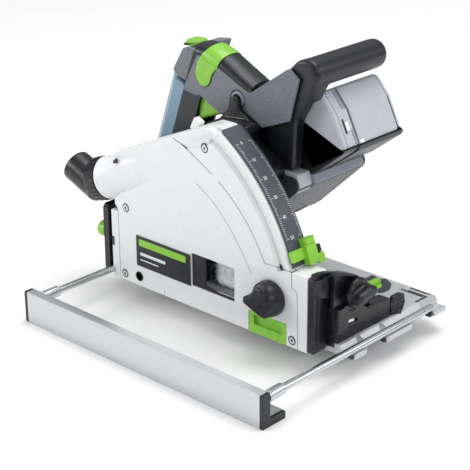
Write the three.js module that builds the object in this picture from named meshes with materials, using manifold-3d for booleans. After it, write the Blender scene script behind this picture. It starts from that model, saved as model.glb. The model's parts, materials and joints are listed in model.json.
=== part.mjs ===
// Cordless track plunge saw with its side fence, standing with the blade up.
// Millimetres, +X forward along the cut, +Y away from the blade side, +Z up.
// Inside this file the origin is the bevel axis at the front of the blade cover;
// the last group moves it to the centre of the base plate's sole.
import * as THREE from 'three';
import Module from 'manifold-3d';
import { mergeVertices } from 'three/addons/utils/BufferGeometryUtils.js';

const wasm = await Module();
wasm.setup();

// ---------------------------------------------------------------- driving dimensions
const GAP = 0.3;
const FRAME_SHIFT = [123, -100, 0];

const PLATE = { rear: -278, front: 32, near: 22, far: 185, top: 9 };
const ARM_NOTCH = { rear: -258, front: -94, far: 62 };
const HOOK_TOP = 4.7;

const ROD = { radius: 4, height: 9, frontX: 38, rearX: -285.5, nearY: -101.7, farY: 159 };
const FENCE = { face: -113, back: -102, flange: -80, top: 15, step: -13, bottom: -21 };
const FENCE_ENDS = [-298, 39];

const PIVOT = { x: -241, z: 13, radius: 5 };
const COVER = { rear: -272, seam: -20.3, top: 84, arc: 226, face: 2.2, depth: 9 };
const HOUSING = { rear: -281, arc: 229.7, near: 9.3, far: 30, wall: 3, low: 1.5 };
const SCALE_ARC = { inner: 230, outer: 232, near: 4, far: 30, low: 18.4, high: 58 };
const DUCT = { y: 13, z: 113, bore: 17 };

const BEVEL = { knobRadius: 77, knobAngle: 57, range: 45, plate: 90, bracket: 84, slot: 3.5 };

const BLADE = { x: -147.4, z: 82.5, radius: 80, near: 11.1, far: 12.9 };
const MOTOR = { x: -152.6, z: 114.9, radius: 42, near: 58, far: 183 };
const GEAR = { driven: 22.2, pinion: 10.1, near: 36, far: 46 };
const HANDLE = { near: 58, split: 76, far: 94 };
const GRIP = { x: -58.5, z: 264.5, radius: 15.5, near: 62.3, far: 177 };
const DOCK = { near: 79, far: 104.7, packFar: 177 };

// ---------------------------------------------------------------- materials
function paint(color, roughness, metalness) {
  return new THREE.MeshStandardMaterial({ color, roughness, metalness });
}
const white = () => paint('#e9eaeb', 0.45, 0.1);
const black = () => paint('#23252c', 0.6, 0);
const grey = () => paint('#7c7f86', 0.7, 0);
const lightGrey = () => paint('#b4b8c0', 0.55, 0);
const green = () => paint('#76c21e', 0.5, 0);
const alu = () => paint('#c9cbce', 0.4, 0.9);
const steel = () => paint('#b6b9bd', 0.3, 1);

// ---------------------------------------------------------------- shape helpers
const rad = THREE.MathUtils.degToRad;

function arc(cx, cy, radius, from, to, steps) {
  const points = [];
  for (let i = 0; i <= steps; i += 1) {
    const angle = rad(from + ((to - from) * i) / steps);
    points.push([cx + radius * Math.cos(angle), cy + radius * Math.sin(angle)]);
  }
  return points;
}

function circle(cx, cy, radius, steps = 20) {
  return arc(cx, cy, radius, 0, 360 - 360 / steps, steps - 1);
}

function ring(cx, cy, inner, outer, from, to, steps) {
  return [...arc(cx, cy, outer, from, to, steps), ...arc(cx, cy, inner, to, from, steps)];
}

function box2(x0, y0, x1, y1) {
  return [[x0, y0], [x1, y0], [x1, y1], [x0, y1]];
}

// Outlines run anticlockwise, which is what the extrusion expects of an outline with holes.
function outline(points, holes = []) {
  const edge = points.map(([x, y]) => new THREE.Vector2(x, y));
  if (THREE.ShapeUtils.isClockWise(edge)) edge.reverse();
  const shape = new THREE.Shape(edge);
  for (const hole of holes) {
    shape.holes.push(new THREE.Path(hole.map(([x, y]) => new THREE.Vector2(x, y))));
  }
  return shape;
}

function extrude(points, depth, holes) {
  return new THREE.ExtrudeGeometry(outline(points, holes), { depth, bevelEnabled: false });
}

// A slab whose outline is given in X and Z, filling y0 to y1.
function slabY(points, y0, y1, holes) {
  const geometry = extrude(points, y1 - y0, holes);
  geometry.rotateX(Math.PI / 2);
  geometry.translate(0, y1, 0);
  return geometry;
}

// A slab whose outline is given in Y and Z, filling x0 to x1.
function slabX(points, x0, x1, holes) {
  const geometry = extrude(points, x1 - x0, holes);
  const basis = new THREE.Matrix4().makeBasis(
    new THREE.Vector3(0, 1, 0),
    new THREE.Vector3(0, 0, 1),
    new THREE.Vector3(1, 0, 0),
  );
  geometry.applyMatrix4(basis);
  geometry.translate(x0, 0, 0);
  return geometry;
}

// A slab whose outline is given in X and Y, filling z0 to z1.
function slabZ(points, z0, z1, holes) {
  const geometry = extrude(points, z1 - z0, holes);
  geometry.translate(0, 0, z0);
  return geometry;
}

// A turned piece: the profile is [radius, distance] pairs along the axis 'x', 'y' or 'z'.
function turned(axis, profile, centre, segments = 24) {
  const points = profile.map(([r, d]) => new THREE.Vector2(r, d));
  const geometry = new THREE.LatheGeometry(points, segments);
  if (axis === 'x') geometry.rotateZ(-Math.PI / 2);
  if (axis === 'z') geometry.rotateX(Math.PI / 2);
  geometry.translate(centre[0], centre[1], centre[2]);
  return geometry;
}

function rod(axis, radius, from, to, centre, segments = 20) {
  return turned(axis, [[0, from], [radius, from], [radius, to], [0, to]], centre, segments);
}

// ---------------------------------------------------------------- solids
function solid(geometry) {
  const plain = geometry.clone();
  plain.deleteAttribute('normal');
  plain.deleteAttribute('uv');
  const merged = mergeVertices(plain, 1e-4);
  const mesh = new wasm.Mesh({
    numProp: 3,
    vertProperties: new Float32Array(merged.attributes.position.array),
    triVerts: new Uint32Array(merged.index.array),
  });
  mesh.merge();
  return new wasm.Manifold(mesh);
}

function geometryOf(manifold) {
  const mesh = manifold.getMesh();
  const geometry = new THREE.BufferGeometry();
  geometry.setAttribute('position', new THREE.BufferAttribute(mesh.vertProperties, 3));
  geometry.setIndex(new THREE.BufferAttribute(mesh.triVerts, 1));
  geometry.computeVertexNormals();
  return geometry;
}

function join(...parts) {
  return geometryOf(parts.map(solid).reduce((a, b) => a.add(b)));
}

function cut(body, ...tools) {
  return geometryOf(tools.map(solid).reduce((a, b) => a.subtract(b), solid(body)));
}

const saw = new THREE.Group();

function piece(name, geometry, material) {
  const mesh = new THREE.Mesh(geometry, material);
  mesh.name = name;
  saw.add(mesh);
}

// ---------------------------------------------------------------- base plate
function basePlate() {
  const { rear, front, near, far, top } = PLATE;
  const body = [
    [rear, near + 6], [rear + 6, near], [ARM_NOTCH.rear, near],
    [ARM_NOTCH.rear, ARM_NOTCH.far], [ARM_NOTCH.front, ARM_NOTCH.far], [ARM_NOTCH.front, near],
    [front, near], [front, far - 8], [front - 8, far], [rear + 8, far], [rear, far - 8],
  ];
  const farSlot = box2(-14, 171, 16, 175);
  const plate = slabZ(body, 0, top, [farSlot]);
  const hooks = [[24, 40], [76, 118], [158, 178]].map(([y0, y1]) => (
    slabZ(box2(front - 1, y0, ROD.frontX + 5, y1), 0, HOOK_TOP)
  ));
  const rearHooks = [[40, 62], [76, 118], [158, 178]].map(([y0, y1]) => (
    slabZ(box2(ROD.rearX - 5, y0, rear + 1, y1), 0, HOOK_TOP)
  ));
  const whole = join(plate, ...hooks, ...rearHooks);
  const railGroove = slabX(box2(106, -1, 122, 2.5), rear - 20, front + 20);
  const edgeNotch = slabZ(box2(-11, far - 4, 14, far + 1), -1, top + 1);
  const recesses = RAIL_ADJUSTERS.map(({ x, y }) => slabZ(circle(x, y, 15), 6, top + 1));
  return cut(whole, railGroove, edgeNotch, ...recesses);
}

const RAIL_ADJUSTERS = [
  { name: 'front_rail_adjuster', x: -43, y: 160 },
  { name: 'rear_rail_adjuster', x: -215, y: 160 },
];

function railAdjuster(x, y) {
  const disc = slabZ(circle(x, y, 12, 16), 6 + GAP, 9);
  const lever = slabZ([[x - 3, y], [x + 3, y], [x + 3, y + 11], [x - 3, y + 11]], 8, 13);
  return join(disc, lever);
}

piece('base_plate', basePlate(), alu());
for (const { name, x, y } of RAIL_ADJUSTERS) piece(name, railAdjuster(x, y), green());

// ---------------------------------------------------------------- bevel clamps, front and rear
// side is +1 at the front and -1 at the rear; distance is measured outward from the cover's end.
const knobY = BEVEL.knobRadius * Math.cos(rad(BEVEL.knobAngle));
const knobZ = BEVEL.knobRadius * Math.sin(rad(BEVEL.knobAngle));
const BEVEL_ENDS = {
  front: {
    side: 1, start: GAP, post: 14, plate: [2, 9], bracket: [9.6, 24], head: [42, 16], low: 1.5, arcTo: 88,
  },
  rear: {
    side: -1, start: -290.1, post: 8, plate: [1, 6.5], bracket: [7.1, 19], head: [27, 10], low: 2, arcTo: 68,
  },
};

function along(end, from, to) {
  const a = end.start + end.side * from;
  const b = end.start + end.side * to;
  return [Math.min(a, b), Math.max(a, b)];
}

function bevelSegment(end) {
  const low = PLATE.top + 1.8;
  const high = SEGMENT_TOP;
  const slotFrom = BEVEL.knobAngle - BEVEL.range - 2.8;
  const slotTo = BEVEL.knobAngle + 3.6;
  const r = BEVEL.knobRadius;
  const curved = arc(0, 0, BEVEL.plate, 6.9, end.arcTo, 14);
  const plate = [[21.5, low], ...curved, [1.5, high]];
  const slot = [
    ...arc(0, 0, r + BEVEL.slot, slotFrom, slotTo, 10),
    ...arc(0, 0, r - BEVEL.slot, slotTo, slotFrom, 10),
  ];
  const post = [
    [1, end.low], [21, end.low], [21, low], [24, low], [28, low + 6],
    [28, high - 8], [22, high], [5, high], [1, high - 4],
  ];
  return join(slabX(plate, ...along(end, ...end.plate), [slot]), slabX(post, ...along(end, 0, end.post)));
}

const SEGMENT_TOP = 84;

function bevelBracket(end) {
  const shape = [
    [31, PLATE.top + GAP], [105, PLATE.top + GAP], [105, 35], [77, 35],
    ...arc(0, 0, BEVEL.bracket, 25.5, 66, 8), [31, 74],
  ];
  const bolt = circle(knobY, knobZ, 3.4, 14);
  return slabX(shape, ...along(end, ...end.bracket), [bolt]);
}

function bevelKnob(end) {
  const [tip, radius] = end.head;
  const face = end.bracket[1] + GAP;
  const profile = [
    [0, 1.2], [3, 1.2], [3, face], [radius, face],
    [radius, face + 5], [radius * 0.6, tip], [0, tip],
  ];
  const knob = turned('x', profile, [0, 0, 0], 18);
  if (end.side < 0) knob.rotateZ(Math.PI);
  knob.translate(end.start, knobY, knobZ);
  return knob;
}

for (const [where, end] of Object.entries(BEVEL_ENDS)) {
  piece(`${where}_bevel_bracket`, bevelBracket(end), black());
  piece(`${where}_bevel_segment`, bevelSegment(end), black());
  piece(`${where}_bevel_knob`, bevelKnob(end), black());
}

function undercutKnob() {
  const x = along(BEVEL_ENDS.rear, 8 + GAP, 19)[0];
  return rod('x', 9, 0, 10.7, [x, 9, 50], 18);
}
piece('undercut_knob', undercutKnob(), green());

// ---------------------------------------------------------------- side fence on two rods
function fenceSection() {
  const { face, back, flange, top, step, bottom } = FENCE;
  return [[face, bottom], [flange, bottom], [flange, step], [back, step], [back, top], [face, top]];
}

function fenceRod(x) {
  const { radius, nearY, farY, height } = ROD;
  const profile = [
    [0, nearY], [6, nearY], [6, nearY + 21], [radius, nearY + 22], [radius, farY - 1], [3, farY], [0, farY],
  ];
  return turned('y', profile, [x, 0, height], 16);
}

function rodClamp(x) {
  const x0 = x - 4.5;
  return slabX(box2(108, HOOK_TOP + GAP, 128, 17), x0, x + 5);
}

function wingScrew(x, y) {
  const shank = rod('z', 6, 0, 6, [x, y, PLATE.top + GAP], 14);
  const shape = [[y - 5, 13], [y + 5, 13], [y + 12, 30], [y + 9, 34], [y - 9, 34], [y - 12, 30]];
  const wing = slabX(shape, x - 3, x + 3);
  return join(shank, wing);
}

piece('fence_profile', slabX(fenceSection(), ...FENCE_ENDS), alu());
piece('fence_cap_front', slabX(fenceSection(), FENCE_ENDS[1] + GAP, FENCE_ENDS[1] + 4), black());
piece('fence_cap_rear', slabX(fenceSection(), FENCE_ENDS[0] - 4, FENCE_ENDS[0] - GAP), black());
for (const [where, x] of [['front', ROD.frontX], ['rear', ROD.rearX]]) {
  const bore = rod('y', ROD.radius + 0.35, 100, 140, [x, 0, ROD.height], 16);
  piece(`fence_rod_${where}`, fenceRod(x), steel());
  piece(`rod_clamp_${where}`, cut(rodClamp(x), bore), grey());
}
piece('wing_screw_front', wingScrew(22, 118), black());
piece('wing_screw_rear', wingScrew(-268, 118), black());

// ---------------------------------------------------------------- blade cover and guard housing
function arcEnd(radius, z) {
  return THREE.MathUtils.radToDeg(Math.asin((z - PIVOT.z) / radius));
}

// The guard's outline from its front top corner round to the rear; grow moves it outward.
function guardTop(radius, front, grow) {
  return [
    [front, COVER.top],
    ...arc(PIVOT.x, PIVOT.z, radius, arcEnd(radius, COVER.top), 58.6, 14),
    [-140, 207 + grow], [-278, 147 + grow], [-277, 89],
  ];
}

const WINDOW = box2(-160, 27, -98, 65);
const SPLINTER = { rear: -78, front: -27, top: 25, depth: 5.5 };

function coverPanel() {
  const top = guardTop(COVER.arc, COVER.seam, 0);
  const face = [[COVER.rear, HOUSING.low], [COVER.seam, HOUSING.low], ...top];
  const inner = [
    [COVER.rear + 2, HOUSING.low - 9], [COVER.seam - 2, HOUSING.low - 9], [COVER.seam - 2, COVER.top - 2],
    ...arc(PIVOT.x, PIVOT.z, COVER.arc - 2, arcEnd(COVER.arc, COVER.top), 57.6, 14),
    [-140, 204], [-275, 145], [-274.8, 89],
  ];
  const hollow = slabY(inner, COVER.face, COVER.depth + 1);
  const window = slabY(WINDOW, -1, COVER.face + 1);
  const notch = slabY(
    box2(SPLINTER.rear - GAP, -9, SPLINTER.front + GAP, SPLINTER.top + GAP),
    -1,
    COVER.depth + 1,
  );
  const screwHole = rod('y', 3.4, -1, 10, [SPLINTER_KNOB.x, 0, SPLINTER_KNOB.z], 14);
  const pinHole = rod('y', PIVOT.radius + 0.4, -1, 12, [PIVOT.x, 0, PIVOT.z], 18);
  return cut(slabY(face, 0, COVER.depth), hollow, window, notch, screwHole, pinHole);
}

const SPLINTER_KNOB = { x: -47, z: 49, radius: 18 };

function guardHousing() {
  const grow = HOUSING.arc - COVER.arc;
  const front = COVER.seam;
  const top = guardTop(HOUSING.arc, front, 2);
  const foot = [[HOUSING.rear, 14], [-272, 14], [-272, HOUSING.low], [front, HOUSING.low]];
  const whole = [...foot, ...top, [HOUSING.rear, 86]];
  const inner = [
    [-269, HOUSING.low - 9], [front - HOUSING.wall, HOUSING.low - 9], [front - HOUSING.wall, COVER.top - 3],
    ...arc(PIVOT.x, PIVOT.z, COVER.arc - 0.5, arcEnd(COVER.arc, COVER.top), 57, 14),
    [-140, 202 + grow - 2], [-274, 143], [-273, 89], [-269, 80],
  ];
  const cavity = slabY(inner, HOUSING.near - 1, HOUSING.far - HOUSING.wall);
  const armSlot = slabY([
    ...arc(PIVOT.x, PIVOT.z, 140, -12, 50, 8),
    ...arc(PIVOT.x, PIVOT.z, 92, 50, -12, 8),
  ], HOUSING.far - HOUSING.wall - 1, HOUSING.far + 1);
  const plateFront = slabY(box2(ARM_NOTCH.front - 2, -1, 0, PLATE.top + 0.6), 21.5, HOUSING.far + 1);
  const plateRear = slabY(box2(-290, -1, ARM_NOTCH.rear + 2, PLATE.top + 0.6), 21.5, HOUSING.far + 1);
  const pinHole = rod('y', PIVOT.radius + 0.4, 20, 40, [PIVOT.x, 0, PIVOT.z], 18);
  const ductPort = rod('x', DUCT.bore, -300, -250, [0, DUCT.y + 5, DUCT.z], 18);
  const body = slabY(whole, HOUSING.near, HOUSING.far);
  return cut(body, cavity, armSlot, plateFront, plateRear, pinHole, ductPort);
}

function frontBlock() {
  const body = slabY(box2(COVER.seam + GAP, HOUSING.low, 0, COVER.top), 0, HOUSING.far);
  return cut(body, slabY(box2(-30, -1, 1, PLATE.top + 0.6), 21.5, HOUSING.far + 1));
}

function splinterGuard() {
  const body = slabY(box2(SPLINTER.rear, 1, SPLINTER.front, SPLINTER.top), 0, SPLINTER.depth);
  return cut(body, slabY(box2(-70, 12, -34, 21), -1, 3));
}

function splinterKnob() {
  const profile = [[0, -22], [12, -21], [17, -16], [18, -3], [18, -GAP], [3, -GAP], [3, 7], [0, 7]];
  const knob = turned('y', profile, [SPLINTER_KNOB.x, 0, SPLINTER_KNOB.z], 20);
  const wing = slabY(box2(SPLINTER_KNOB.x - 26, 44, SPLINTER_KNOB.x, 54), -20, -6);
  return join(knob, wing);
}

piece('cover_panel', coverPanel(), white());
piece('guard_housing', guardHousing(), white());
piece('front_block', frontBlock(), white());
piece('splinter_guard', splinterGuard(), green());
piece('splinter_guard_knob', splinterKnob(), black());
piece('label_plate', slabY(box2(-244, 26, -161, 62), -0.9, -GAP), grey());

const COVER_SCREWS = [[-259, 89], [-264, 9.4], [-138, 186]];
COVER_SCREWS.forEach(([x, z], i) => {
  piece(`cover_screw_${i + 1}`, rod('y', 4, -1.3, -GAP, [x, 0, z], 12), steel());
});

// ---------------------------------------------------------------- dust outlet
// The duct's mouth leans down, and the elbow on it turns back up into the hose nozzle.
const MOUTH = { x: -296.2, z: 112.2, lean: 20, radius: 24.6, back: 24 };
const ELBOW = { ring: 21, radius: 24.8, x: -316, z: 97, rise: 22, nozzle: 18, wall: 3, reach: 41.6 };

// A round bar along -X whose far end rises by the given angle, placed at a point of the duct's middle plane.
function raisedRod(radius, from, to, rise, x, z) {
  const shape = rod('x', radius, -to, -from, [0, 0, 0], 24);
  shape.rotateY(rad(rise));
  shape.translate(x, DUCT.y, z);
  return shape;
}

const mouthRod = (radius, from, to) => raisedRod(radius, from, to, -MOUTH.lean, MOUTH.x, MOUTH.z);
const nozzleRod = (radius, from, to) => raisedRod(radius, from, to, ELBOW.rise, ELBOW.x, ELBOW.z);

function hullOf(...parts) {
  return geometryOf(wasm.Manifold.hull(parts.map(solid)));
}

function dustCollar() {
  const face = HOUSING.rear - GAP;
  const tube = mouthRod(MOUTH.radius, -MOUTH.back, 0);
  const inside = slabX(box2(DUCT.y - 50, DUCT.z - 50, DUCT.y + 50, DUCT.z + 50), face, face + MOUTH.back * 2);
  return cut(tube, inside, mouthRod(DUCT.bore, -MOUTH.back - 9, 1));
}

function dustOutlet() {
  const { ring: depth, radius, nozzle, wall, reach } = ELBOW;
  const bore = nozzle - wall;
  const boreEnd = depth - 5;
  const bend = hullOf(mouthRod(radius - wall, depth - 1, depth), nozzleRod(nozzle, 0, 1));
  const bendRoom = hullOf(mouthRod(DUCT.bore, boreEnd - 1, boreEnd), nozzleRod(bore, -1, 0));
  const outside = join(mouthRod(radius, GAP, depth), bend, nozzleRod(nozzle, 0, reach));
  return cut(outside, mouthRod(DUCT.bore, -1, boreEnd), bendRoom, nozzleRod(bore, -1, reach + 1));
}

piece('dust_collar', dustCollar(), black());
piece('dust_outlet', dustOutlet(), black());

// ---------------------------------------------------------------- depth scale and stop
const STOP = {
  inner: 232.5, arm: 236.6, plate: 240.8, ledge: 240.4,
  near: 2, side: 20, split: 34.3, far: 43,
  foot: 17.7, low: 18.2, armLow: 20, armHigh: 22.7, top: 24.75,
  well: { floor: 233.3, low: 22.95, high: 24.55, near: 20.8, far: 33.5 },
  button: { from: 236.5, height: 5, play: 0.3 },
  screw: { angle: 20.3, radius: 237, y: 39, head: 3.4, length: 7.5, shank: 1.4, depth: 5 },
};

function onArc(radius, degrees) {
  const angle = rad(degrees);
  return [PIVOT.x + radius * Math.cos(angle), PIVOT.z + radius * Math.sin(angle)];
}

function depthScale() {
  const { inner, outer, near, far, low, high } = SCALE_ARC;
  return slabY(ring(PIVOT.x, PIVOT.z, inner, outer, low, high, 16), near, far);
}

function arcBlock(inner, outer, from, to, y0, y1) {
  return slabY(ring(PIVOT.x, PIVOT.z, inner, outer, from, to, 2), y0, y1);
}

function tangentRod(radius, from, to) {
  const { angle, radius: reach, y } = STOP.screw;
  const [x, z] = onArc(reach, angle);
  const shape = rod('z', radius, from, to, [0, 0, 0], 12);
  shape.rotateY(-rad(angle));
  shape.translate(x, y, z);
  return shape;
}

// An arm across the scale, a thicker plate with the button's well, and a ledge under the fine screw.
function depthStop() {
  const { inner, arm, plate, ledge, near, side, split, far } = STOP;
  const { foot, low, armLow, armHigh, top, well, screw } = STOP;
  const body = join(
    arcBlock(inner, arm, armLow, armHigh, near, side + 1),
    arcBlock(inner, plate, low, top, side, split),
    arcBlock(inner, ledge, foot, armLow, split - GAP, far),
  );
  const room = arcBlock(well.floor, plate + 1, well.low, well.high, well.near, well.far);
  return cut(body, room, tangentRod(screw.shank + GAP, -screw.depth - 1, 1));
}

function stopButton() {
  const { well, button } = STOP;
  const angle = (well.low + well.high) / 2;
  const deep = rad(well.high - well.low) * button.from - 2 * button.play;
  const wide = well.far - well.near - 2 * button.play;
  const [x, z] = onArc(button.from + button.height / 2, angle);
  const block = new THREE.BoxGeometry(button.height, wide, deep);
  block.rotateY(-rad(angle));
  block.translate(x, (well.near + well.far) / 2, z);
  return block;
}

function fineScrew() {
  const { head, length, shank, depth } = STOP.screw;
  return join(tangentRod(head, 0, length), tangentRod(shank, -depth, 0.5));
}

piece('depth_scale', depthScale(), grey());
piece('depth_stop', depthStop(), green());
piece('depth_stop_button', stopButton(), green());
piece('fine_adjust_screw', fineScrew(), black());

// ---------------------------------------------------------------- plunge pivot
function returnSpring() {
  class Coil extends THREE.Curve {
    getPoint(t, target = new THREE.Vector3()) {
      const angle = t * Math.PI * 2 * 3;
      return target.set(
        PIVOT.x + 7.4 * Math.cos(angle),
        16 + 9 * t,
        PIVOT.z + 7.4 * Math.sin(angle),
      );
    }
  }
  const wire = outline(circle(0, 0, 1, 6));
  return new THREE.ExtrudeGeometry(wire, { steps: 42, extrudePath: new Coil(), bevelEnabled: false });
}

piece('pivot_pin', rod('y', PIVOT.radius, -1, 57.5, [PIVOT.x, 0, PIVOT.z], 18), steel());
piece('return_spring', returnSpring(), steel());

// ---------------------------------------------------------------- blade, arbor and gears
function bladeDisc() {
  const teeth = 36;
  const points = [];
  for (let i = 0; i < teeth; i += 1) {
    const turn = (360 * i) / teeth;
    points.push(arc(BLADE.x, BLADE.z, BLADE.radius, turn, turn, 1)[0]);
    points.push(arc(BLADE.x, BLADE.z, BLADE.radius - 5, turn + 2.5, turn + 2.5, 1)[0]);
  }
  return slabY(points, BLADE.near, BLADE.far, [circle(BLADE.x, BLADE.z, 8.3, 16)]);
}

function arborShaft() {
  const profile = [
    [0, 9.4], [8, 9.4], [8, BLADE.far + GAP], [21, BLADE.far + GAP], [21, 17], [8, 17], [8, 56], [0, 56],
  ];
  return turned('y', profile, [BLADE.x, 0, BLADE.z], 20);
}

function clampFlange() {
  const face = BLADE.near - GAP;
  const profile = [[0, 4.6], [7, 4.6], [8, 7.5], [18, 8.4], [19, face], [8.3, face], [8.3, 9.1], [0, 9.1]];
  return turned('y', profile, [BLADE.x, 0, BLADE.z], 20);
}

function wheel(x, z, radius, bore) {
  return slabY(circle(x, z, radius, 24), GEAR.near, GEAR.far, [circle(x, z, bore, 16)]);
}

function motorShaft() {
  const profile = [
    [0, 34], [5, 34], [5, GEAR.near], [GEAR.pinion, GEAR.near], [GEAR.pinion, GEAR.far], [5, GEAR.far],
    [5, 70], [20, 70], [20, 122], [5, 122], [5, 132], [0, 132],
  ];
  return turned('y', profile, [MOTOR.x, 0, MOTOR.z], 20);
}

piece('saw_blade', bladeDisc(), steel());
piece('arbor_shaft', arborShaft(), steel());
piece('blade_clamp_screw', clampFlange(), steel());
piece('drive_gear', wheel(BLADE.x, BLADE.z, GEAR.driven, 8.3), steel());
piece('motor_shaft_and_rotor', motorShaft(), steel());

// ---------------------------------------------------------------- gear housing and motor
// The convex slab round several circles, each given as [x, z, radius].
function hullSlab(circles, y0, y1, steps = 20) {
  const points = circles
    .flatMap(([x, z, r]) => circle(x, z, r, steps))
    .flatMap(([x, z]) => [[x, y0, z], [x, y1, z]]);
  return geometryOf(wasm.Manifold.hull(points));
}

const ARM = { near: 31, far: 57.4, neck: 18, boss: 24.2 };

function gearHousing() {
  const arbor = [BLADE.x, BLADE.z, ARM.boss];
  const arm = hullSlab([[PIVOT.x, PIVOT.z, 11], arbor], ARM.near, ARM.far);
  const head = hullSlab([arbor, [MOTOR.x, MOTOR.z, 38], [-136, 183, 13], [-92, 160, 12]], ARM.near, ARM.far);
  const neck = rod('y', 17.5, ARM.neck, ARM.near + 1, [BLADE.x, 0, BLADE.z]);
  const gearRoom = hullSlab([
    [BLADE.x, BLADE.z, GEAR.driven + 0.5],
    [MOTOR.x, MOTOR.z, GEAR.pinion + 6],
  ], GEAR.near - 1, GEAR.far + 1, 24);
  const arborBore = rod('y', 8.4, 0, ARM.far + 1, [BLADE.x, 0, BLADE.z]);
  const motorBore = rod('y', 5.4, GEAR.near - 3, ARM.far + 1, [MOTOR.x, 0, MOTOR.z]);
  const pinBore = rod('y', PIVOT.radius + 0.3, 0, ARM.far + 1, [PIVOT.x, 0, PIVOT.z]);
  return cut(join(arm, head, neck), gearRoom, arborBore, motorBore, pinBore);
}

const CAP_START = 160;
const HOUSING_NOSE = [-72, 146, 9];

function motorHousing() {
  const body = hullSlab([[MOTOR.x, MOTOR.z, MOTOR.radius], HOUSING_NOSE], MOTOR.near, CAP_START, 28);
  return cut(body, rod('y', 27, MOTOR.near - 1, 134, [MOTOR.x, 0, MOTOR.z], 24));
}

function motorEndCap() {
  const circles = [[MOTOR.x, MOTOR.z, MOTOR.radius], HOUSING_NOSE];
  const small = [[MOTOR.x, MOTOR.z, MOTOR.radius - 12], [-84, 143, 6]];
  const ringAt = (list, y) => list.flatMap(([x, z, r]) => circle(x, z, r, 24)).map(([x, z]) => [x, y, z]);
  const points = [
    ...ringAt(circles, CAP_START + GAP),
    ...ringAt(circles, CAP_START + 8),
    ...ringAt(small, MOTOR.far),
  ];
  return geometryOf(wasm.Manifold.hull(points));
}

function speedDial() {
  return rod('y', 8, MOTOR.far + GAP, MOTOR.far + 3, [-148, 0, 124], 16);
}

function rivingKnife() {
  const at = (radius, degrees) => [
    BLADE.x + radius * Math.cos(rad(degrees)),
    BLADE.z + radius * Math.sin(rad(degrees)),
  ];
  const wedge = slabY(ring(BLADE.x, BLADE.z, 83.5, 97, 198, 234, 6), BLADE.near, BLADE.far);
  const root = slabY(ring(BLADE.x, BLADE.z, 83.5, 97, 198, 208, 2), BLADE.near, 15.6);
  const bar = slabY([at(22.5, 190), at(90, 199), at(90, 207), at(22.5, 216)], 13.4, 15.6);
  const foot = slabY([at(22.5, 190), at(30, 190), at(30, 216), at(22.5, 216)], 13.4, 17.7);
  return join(wedge, root, bar, foot);
}

piece('gear_housing', gearHousing(), black());
piece('motor_housing', motorHousing(), lightGrey());
piece('motor_end_cap', motorEndCap(), grey());
piece('speed_dial', speedDial(), green());
piece('riving_knife', rivingKnife(), steel());

// ---------------------------------------------------------------- pointer arm over the scale
function pointerArm() {
  const boot = [
    [-170, 196.5], [-158, 207], [-154, 214], [-153, 223], [-146, 228], [-140, 224], [-138, 213],
    [-124, 206], [-112, 199.5], [-112, 196.5],
  ];
  const skirt = [[-172, 196.5], [-160, 202], [-130, 206], [-109, 206.5], [-109, 199.5], [-112, 196.5]];
  return join(slabY(boot, 48, ARM.far), slabY(skirt, ARM.near + GAP, 48.3));
}
piece('depth_pointer_arm', pointerArm(), black());

// ---------------------------------------------------------------- rear handle in two shells
const OPENING = [[-200.5, 215.5], [-152, 193], [-150, 176], [-158, 163], [-218, 163], [-210.5, 184]];
const TRIGGER_Y = [62.5, 89.5];

function handleOutline() {
  return [
    [-206, 266], [-180, 263], [-165, 256], [-128, 236], [-128, 159],
    ...arc(MOTOR.x, MOTOR.z, MOTOR.radius + 1, 88, 168, 6),
    [-200, 119], [-236, 122], [-252, 138], [-245, 160.4], [-222.8, 224.6],
  ];
}

function triggerRoom() {
  const room = [[-212, 230], [-161, 214], [-159, 188], [-214, 178]];
  return slabY(room, TRIGGER_Y[0] - 0.6, TRIGGER_Y[1] + 0.6);
}

function handleShellLeft() {
  const grip = slabY(handleOutline(), HANDLE.near, HANDLE.split, [OPENING]);
  const armPlate = [[-129, 236], [-79, 269], [-64, 260], [-76, 214], [-113, 199], [-129, 206]];
  const panel = slabY(armPlate, HANDLE.near, HANDLE.near + 4);
  return cut(join(grip, panel), triggerRoom());
}

function handleShellRight() {
  const grip = slabY(handleOutline(), HANDLE.split + GAP, HANDLE.far, [OPENING]);
  return cut(grip, triggerRoom());
}

function trigger() {
  return slabY([[-205, 221], [-168, 209], [-165, 203], [-178, 196.5], [-208, 186.5]], ...TRIGGER_Y);
}

function lockButton() {
  return slabY([[-236, 262], [-229, 270], [-213, 271], [-211.5, 268], [-211.5, 262]], 68, 84);
}

function bladeChangeLever() {
  const { near, far } = HANDLE;
  const lobe = [
    [-203, 267], [-205, 248], ...arc(-195, 237, 10, 190, 340, 6), [-176, 252], [-172, 261],
  ];
  const side = slabY(lobe, near - 3, near - GAP);
  const bridge = [[-203, 267], [-180, 264], [-167, 257.6], [-165, 261], [-180, 268], [-203, 271]];
  return join(side, slabY(bridge, near - 3, far));
}

piece('handle_shell_left', handleShellLeft(), grey());
piece('handle_shell_right', handleShellRight(), grey());
piece('trigger', trigger(), green());
piece('lock_button', lockButton(), green());
piece('blade_change_lever', bladeChangeLever(), green());

// ---------------------------------------------------------------- front grip, battery dock and tray
function frontGrip() {
  const arm = [
    [-127.6, 230], [-127.6, 207], [-112, 199], [-104, 158.4], [-72, 158.4],
    [-71, 214], [-50, 252], [-44, 268], [-58, 280], [-72, 275], [-79, 268],
  ];
  const post = slabY(arm, GRIP.near, DOCK.near - GAP);
  const profile = [
    [0, GRIP.near], [GRIP.radius, GRIP.near], [GRIP.radius, GRIP.far - 5],
    [GRIP.radius - 5, GRIP.far], [0, GRIP.far],
  ];
  return join(post, turned('y', profile, [GRIP.x, 0, GRIP.z], 20));
}

const PACK = [[-55, 244.5], [-37.2, 224.3], [-20.8, 191.5], [-61.5, 165.3], [-96, 221]];

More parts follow.
